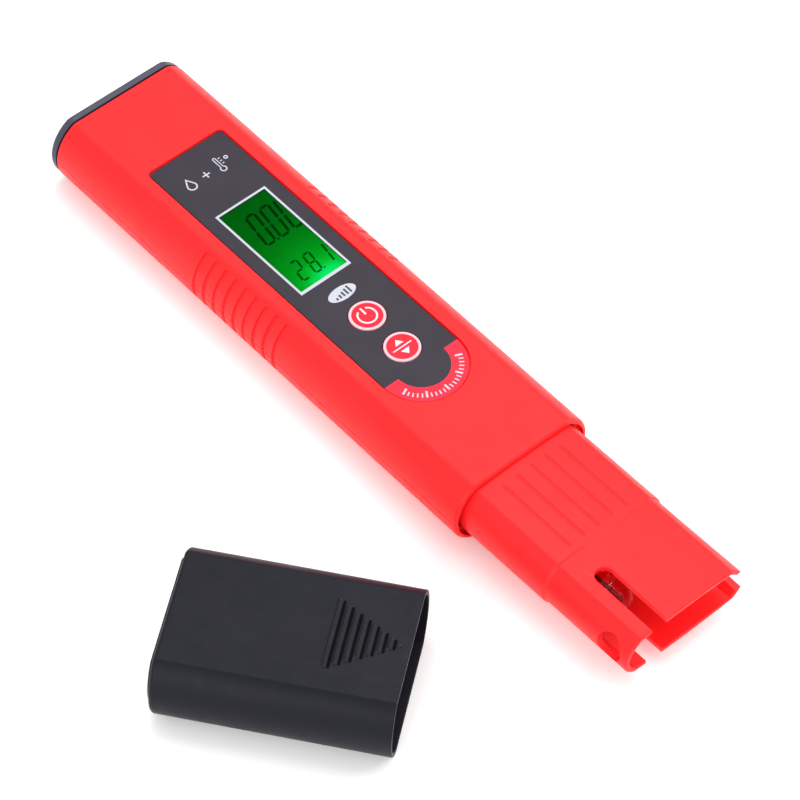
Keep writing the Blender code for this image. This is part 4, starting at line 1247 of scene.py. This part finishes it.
def cap_axes():
    """Where the cap's own axes lie: the middle of its closed end, and its yaw."""
    joint = next(joint for joint in frame["joints"] if joint["name"] == "cap_pull")
    axis = Vector(joint["axis"])
    run = Vector((-axis.x, -axis.y, 0)).normalized()
    across = Vector((-run.y, run.x, 0))
    points = [vertex.co / MM for vertex in frame["nodes"]["cap_shell"].data.vertices]
    start = min(point.dot(run) for point in points)
    sides = [point.dot(across) for point in points]
    origin = run * start + across * (min(sides) + max(sides)) / 2
    return origin, math.atan2(run.y, run.x)


def make_cap():
    """The loose storage cap, hollow, with a raised field on its closed end, an arrow of ribs and painted
    shade strips between them.
    """
    origin, yaw = cap_axes()
    section = Section(CAP_WIDTH, CAP_FLAT, BODY_THICK, CAP_CREASE)
    path = [(drop, CAP_FIELD_INSET + inset, 0.0) for drop, inset in reversed(fillet(0.25))]
    path += [(CAP_FIELD_RISE - 0.1, CAP_FIELD_INSET - 0.05, 0.0)]
    path += [(CAP_FIELD_RISE, CAP_FIELD_INSET - 0.15, 0.0)]
    path += [(CAP_FIELD_RISE + drop, inset, 0.0) for drop, inset in reversed(fillet(CAP_ROUNDING, 8))]
    path += [(CAP_LENGTH - drop, inset, 0.0) for drop, inset in fillet(CAP_LIP)]
    path += [(CAP_LENGTH - drop, CAP_WALL - inset, 0.0) for drop, inset in reversed(fillet(CAP_LIP))]
    path += [(CAP_FLOOR + 0.6, CAP_WALL, 0.0), (CAP_FLOOR, CAP_WALL + 0.6, 0.0)]
    cap = soften(loft("storage_cap_moulded", section, path, MATERIALS["black"]))
    ribs, shade_strips = make_ribs()
    for piece in (cap, ribs, shade_strips):
        piece.matrix_world = Matrix.Translation(origin * MM) @ Matrix.Rotation(yaw, 4, "Z")
    place(cap, "storage_cap", "black_abs", "cap_shell")
    place(ribs, "storage_cap", "black_abs")
    place(shade_strips, "storage_cap", "black_abs")


def rib_outline(count, reach, half_width):
    """Outline function of a bar at this count of ribs from the mouth, as long as a rib at that reach."""
    x = CAP_LENGTH - CAP_RIB_TIP - count * CAP_RIB_PITCH
    longer = (CAP_RIB_LONGEST / 2 - CAP_RIB_HALF) * reach / (CAP_RIB_COUNT - 1)
    return stadium(x, 0, CAP_RIB_HALF + longer, half_width)


def make_ribs():
    """The arrow of round-topped ribs, and near-black strips between them that paint the shade in the gaps,
    in the cap's own axes.
    """
    low = BODY_TOP + CAP_RIB_HEIGHT - CAP_RIB_RADIUS
    levels = [(BODY_TOP - 0.2, 0.0)]
    for angle in (0.67, 0.8, 0.95, 1.1, 1.25, 1.4, 1.52):
        width = CAP_RIB_RADIUS * math.cos(angle)
        levels.append((low + CAP_RIB_RADIUS * math.sin(angle), width - CAP_RIB_HALF))
    bm = bmesh.new()
    for count in range(CAP_RIB_COUNT):
        outline = rib_outline(count, count, CAP_RIB_HALF)
        skin(bm, [flat_ring(outline(offset), level) for level, offset in levels])
    ribs = finish_mesh(bm, "storage_cap_ribs", MATERIALS["black"])
    # Painted shade: near-black strips between the ribs, where the gaps fall in shade.
    bm = bmesh.new()
    for count in range(1, CAP_RIB_COUNT):
        outline = rib_outline(count - 0.5, count - 0.3, CAP_SHADE_STRIP_HALF)
        slab(bm, outline(0.0), BODY_TOP - 0.1, BODY_TOP + PRINT_THICK)
    return ribs, finish_mesh(bm, "storage_cap_rib_painted_shade", MATERIALS["recess"])


# Kept CAD nodes


def dress_kept_nodes():
    """Gives the inner pieces that keep their CAD shape a finished material."""
    kinds = {
        "silver": ("battery_contact", "quartz_crystal"),
        "light": ("backlight_panel",),
        "rubber": ("lcd_connector_left", "lcd_connector_right"),
        "chip": ("power_switch", "calibration_switch", "controller_chip"),
        "tray": ("power_plunger", "calibration_plunger"),
        "board": ("circuit_board",),
        "steel": ("board_screw_left", "board_screw_right"),
        "cable": ("electrode_cable", "temperature_cable"),
    }
    for kind, names in kinds.items():
        for name in names:
            for slot in frame["nodes"][name].material_slots:
                slot.material = MATERIALS[kind]


# Studio


def make_floor():
    """A plain pale floor."""
    bm = bmesh.new()
    bmesh.ops.create_grid(bm, x_segments=1, y_segments=1, size=2500)
    nodes = Nodes("studio_floor")
    cloud = nodes.spread(nodes.noise(0.01, 2.0), 0.0, 1.0)
    nodes.set(Base_Color=nodes.blend(cloud, rgba((0.93, 0.925, 0.925)), rgba((0.95, 0.945, 0.945))))
    nodes.set(Roughness=0.9, Specular_IOR_Level=0.1, Emission_Color=rgba((1, 1, 1)))
    nodes.set(Emission_Strength=nodes.spread(cloud, 0.12, 0.14, 0.0, 1.0))
    finish_mesh(bm, "studio_floor", nodes.material)


def make_light(name, at, size, power, colour=(1, 1, 1)):
    """A square soft box that faces the pen."""
    light = bpy.data.lights.new(name, "AREA")
    light.size = size
    light.energy = power
    light.color = colour
    obj = bpy.data.objects.new(name, light)
    obj.location = at
    obj.rotation_euler = (-Vector(at)).to_track_quat("-Z", "Y").to_euler()
    bpy.context.scene.collection.objects.link(obj)


def make_studio():
    """Even light from all round, with a little more from above and behind."""
    world = bpy.data.worlds.new("studio")
    world.use_nodes = True
    background = world.node_tree.nodes["Background"]
    background.inputs["Color"].default_value = (1.0, 1.0, 1.0, 1.0)
    background.inputs["Strength"].default_value = 0.92
    bpy.context.scene.world = world
    make_floor()
    make_light("softbox_above", (-0.15, 0.25, 0.9), 0.7, 4.0)
    make_light("softbox_behind", (0.35, 0.8, 0.45), 0.5, 4.0)
    make_light("softbox_front", (0.3, -0.9, 0.45), 0.6, 4.0)
    bpy.context.scene.view_settings.view_transform = "Standard"


def make_camera():
    """The camera, over the near side of the pen and turned a little about its own axis."""
    azimuth = math.radians(47.63)
    elevation = math.radians(51.78)
    roll = math.radians(1.33)
    target = Vector((5.79, -0.61, 0)) * MM
    distance = 0.87046
    back = Vector((math.sin(azimuth), -math.cos(azimuth), math.tan(elevation))).normalized()
    right = Vector((math.cos(azimuth), math.sin(azimuth), 0))
    up = back.cross(right)
    turned_right = right * math.cos(roll) + up * math.sin(roll)
    turned_up = up * math.cos(roll) - right * math.sin(roll)
    data = bpy.data.cameras.new("camera")
    data.sensor_width = 36.0
    data.lens = data.sensor_width * FOCAL_PIXELS / FRAME_PIXELS
    camera = bpy.data.objects.new("camera", data)
    bpy.context.scene.collection.objects.link(camera)
    turn = Matrix((turned_right, turned_up, back)).transposed().to_4x4()
    camera.matrix_world = Matrix.Translation(target + back * distance) @ turn
    bpy.context.scene.camera = camera


make_studio()
make_camera()
make_front_shell()
make_rear_shell()
make_battery_cap()
make_battery_tray()
make_cells()
make_battery_spring()
make_panel()
print_marks()
make_badge()
make_display()
make_button("power", power_symbol)
make_button("calibration", two_way_symbol)
make_probe_housing()
make_sensors()
make_cap()
dress_kept_nodes()
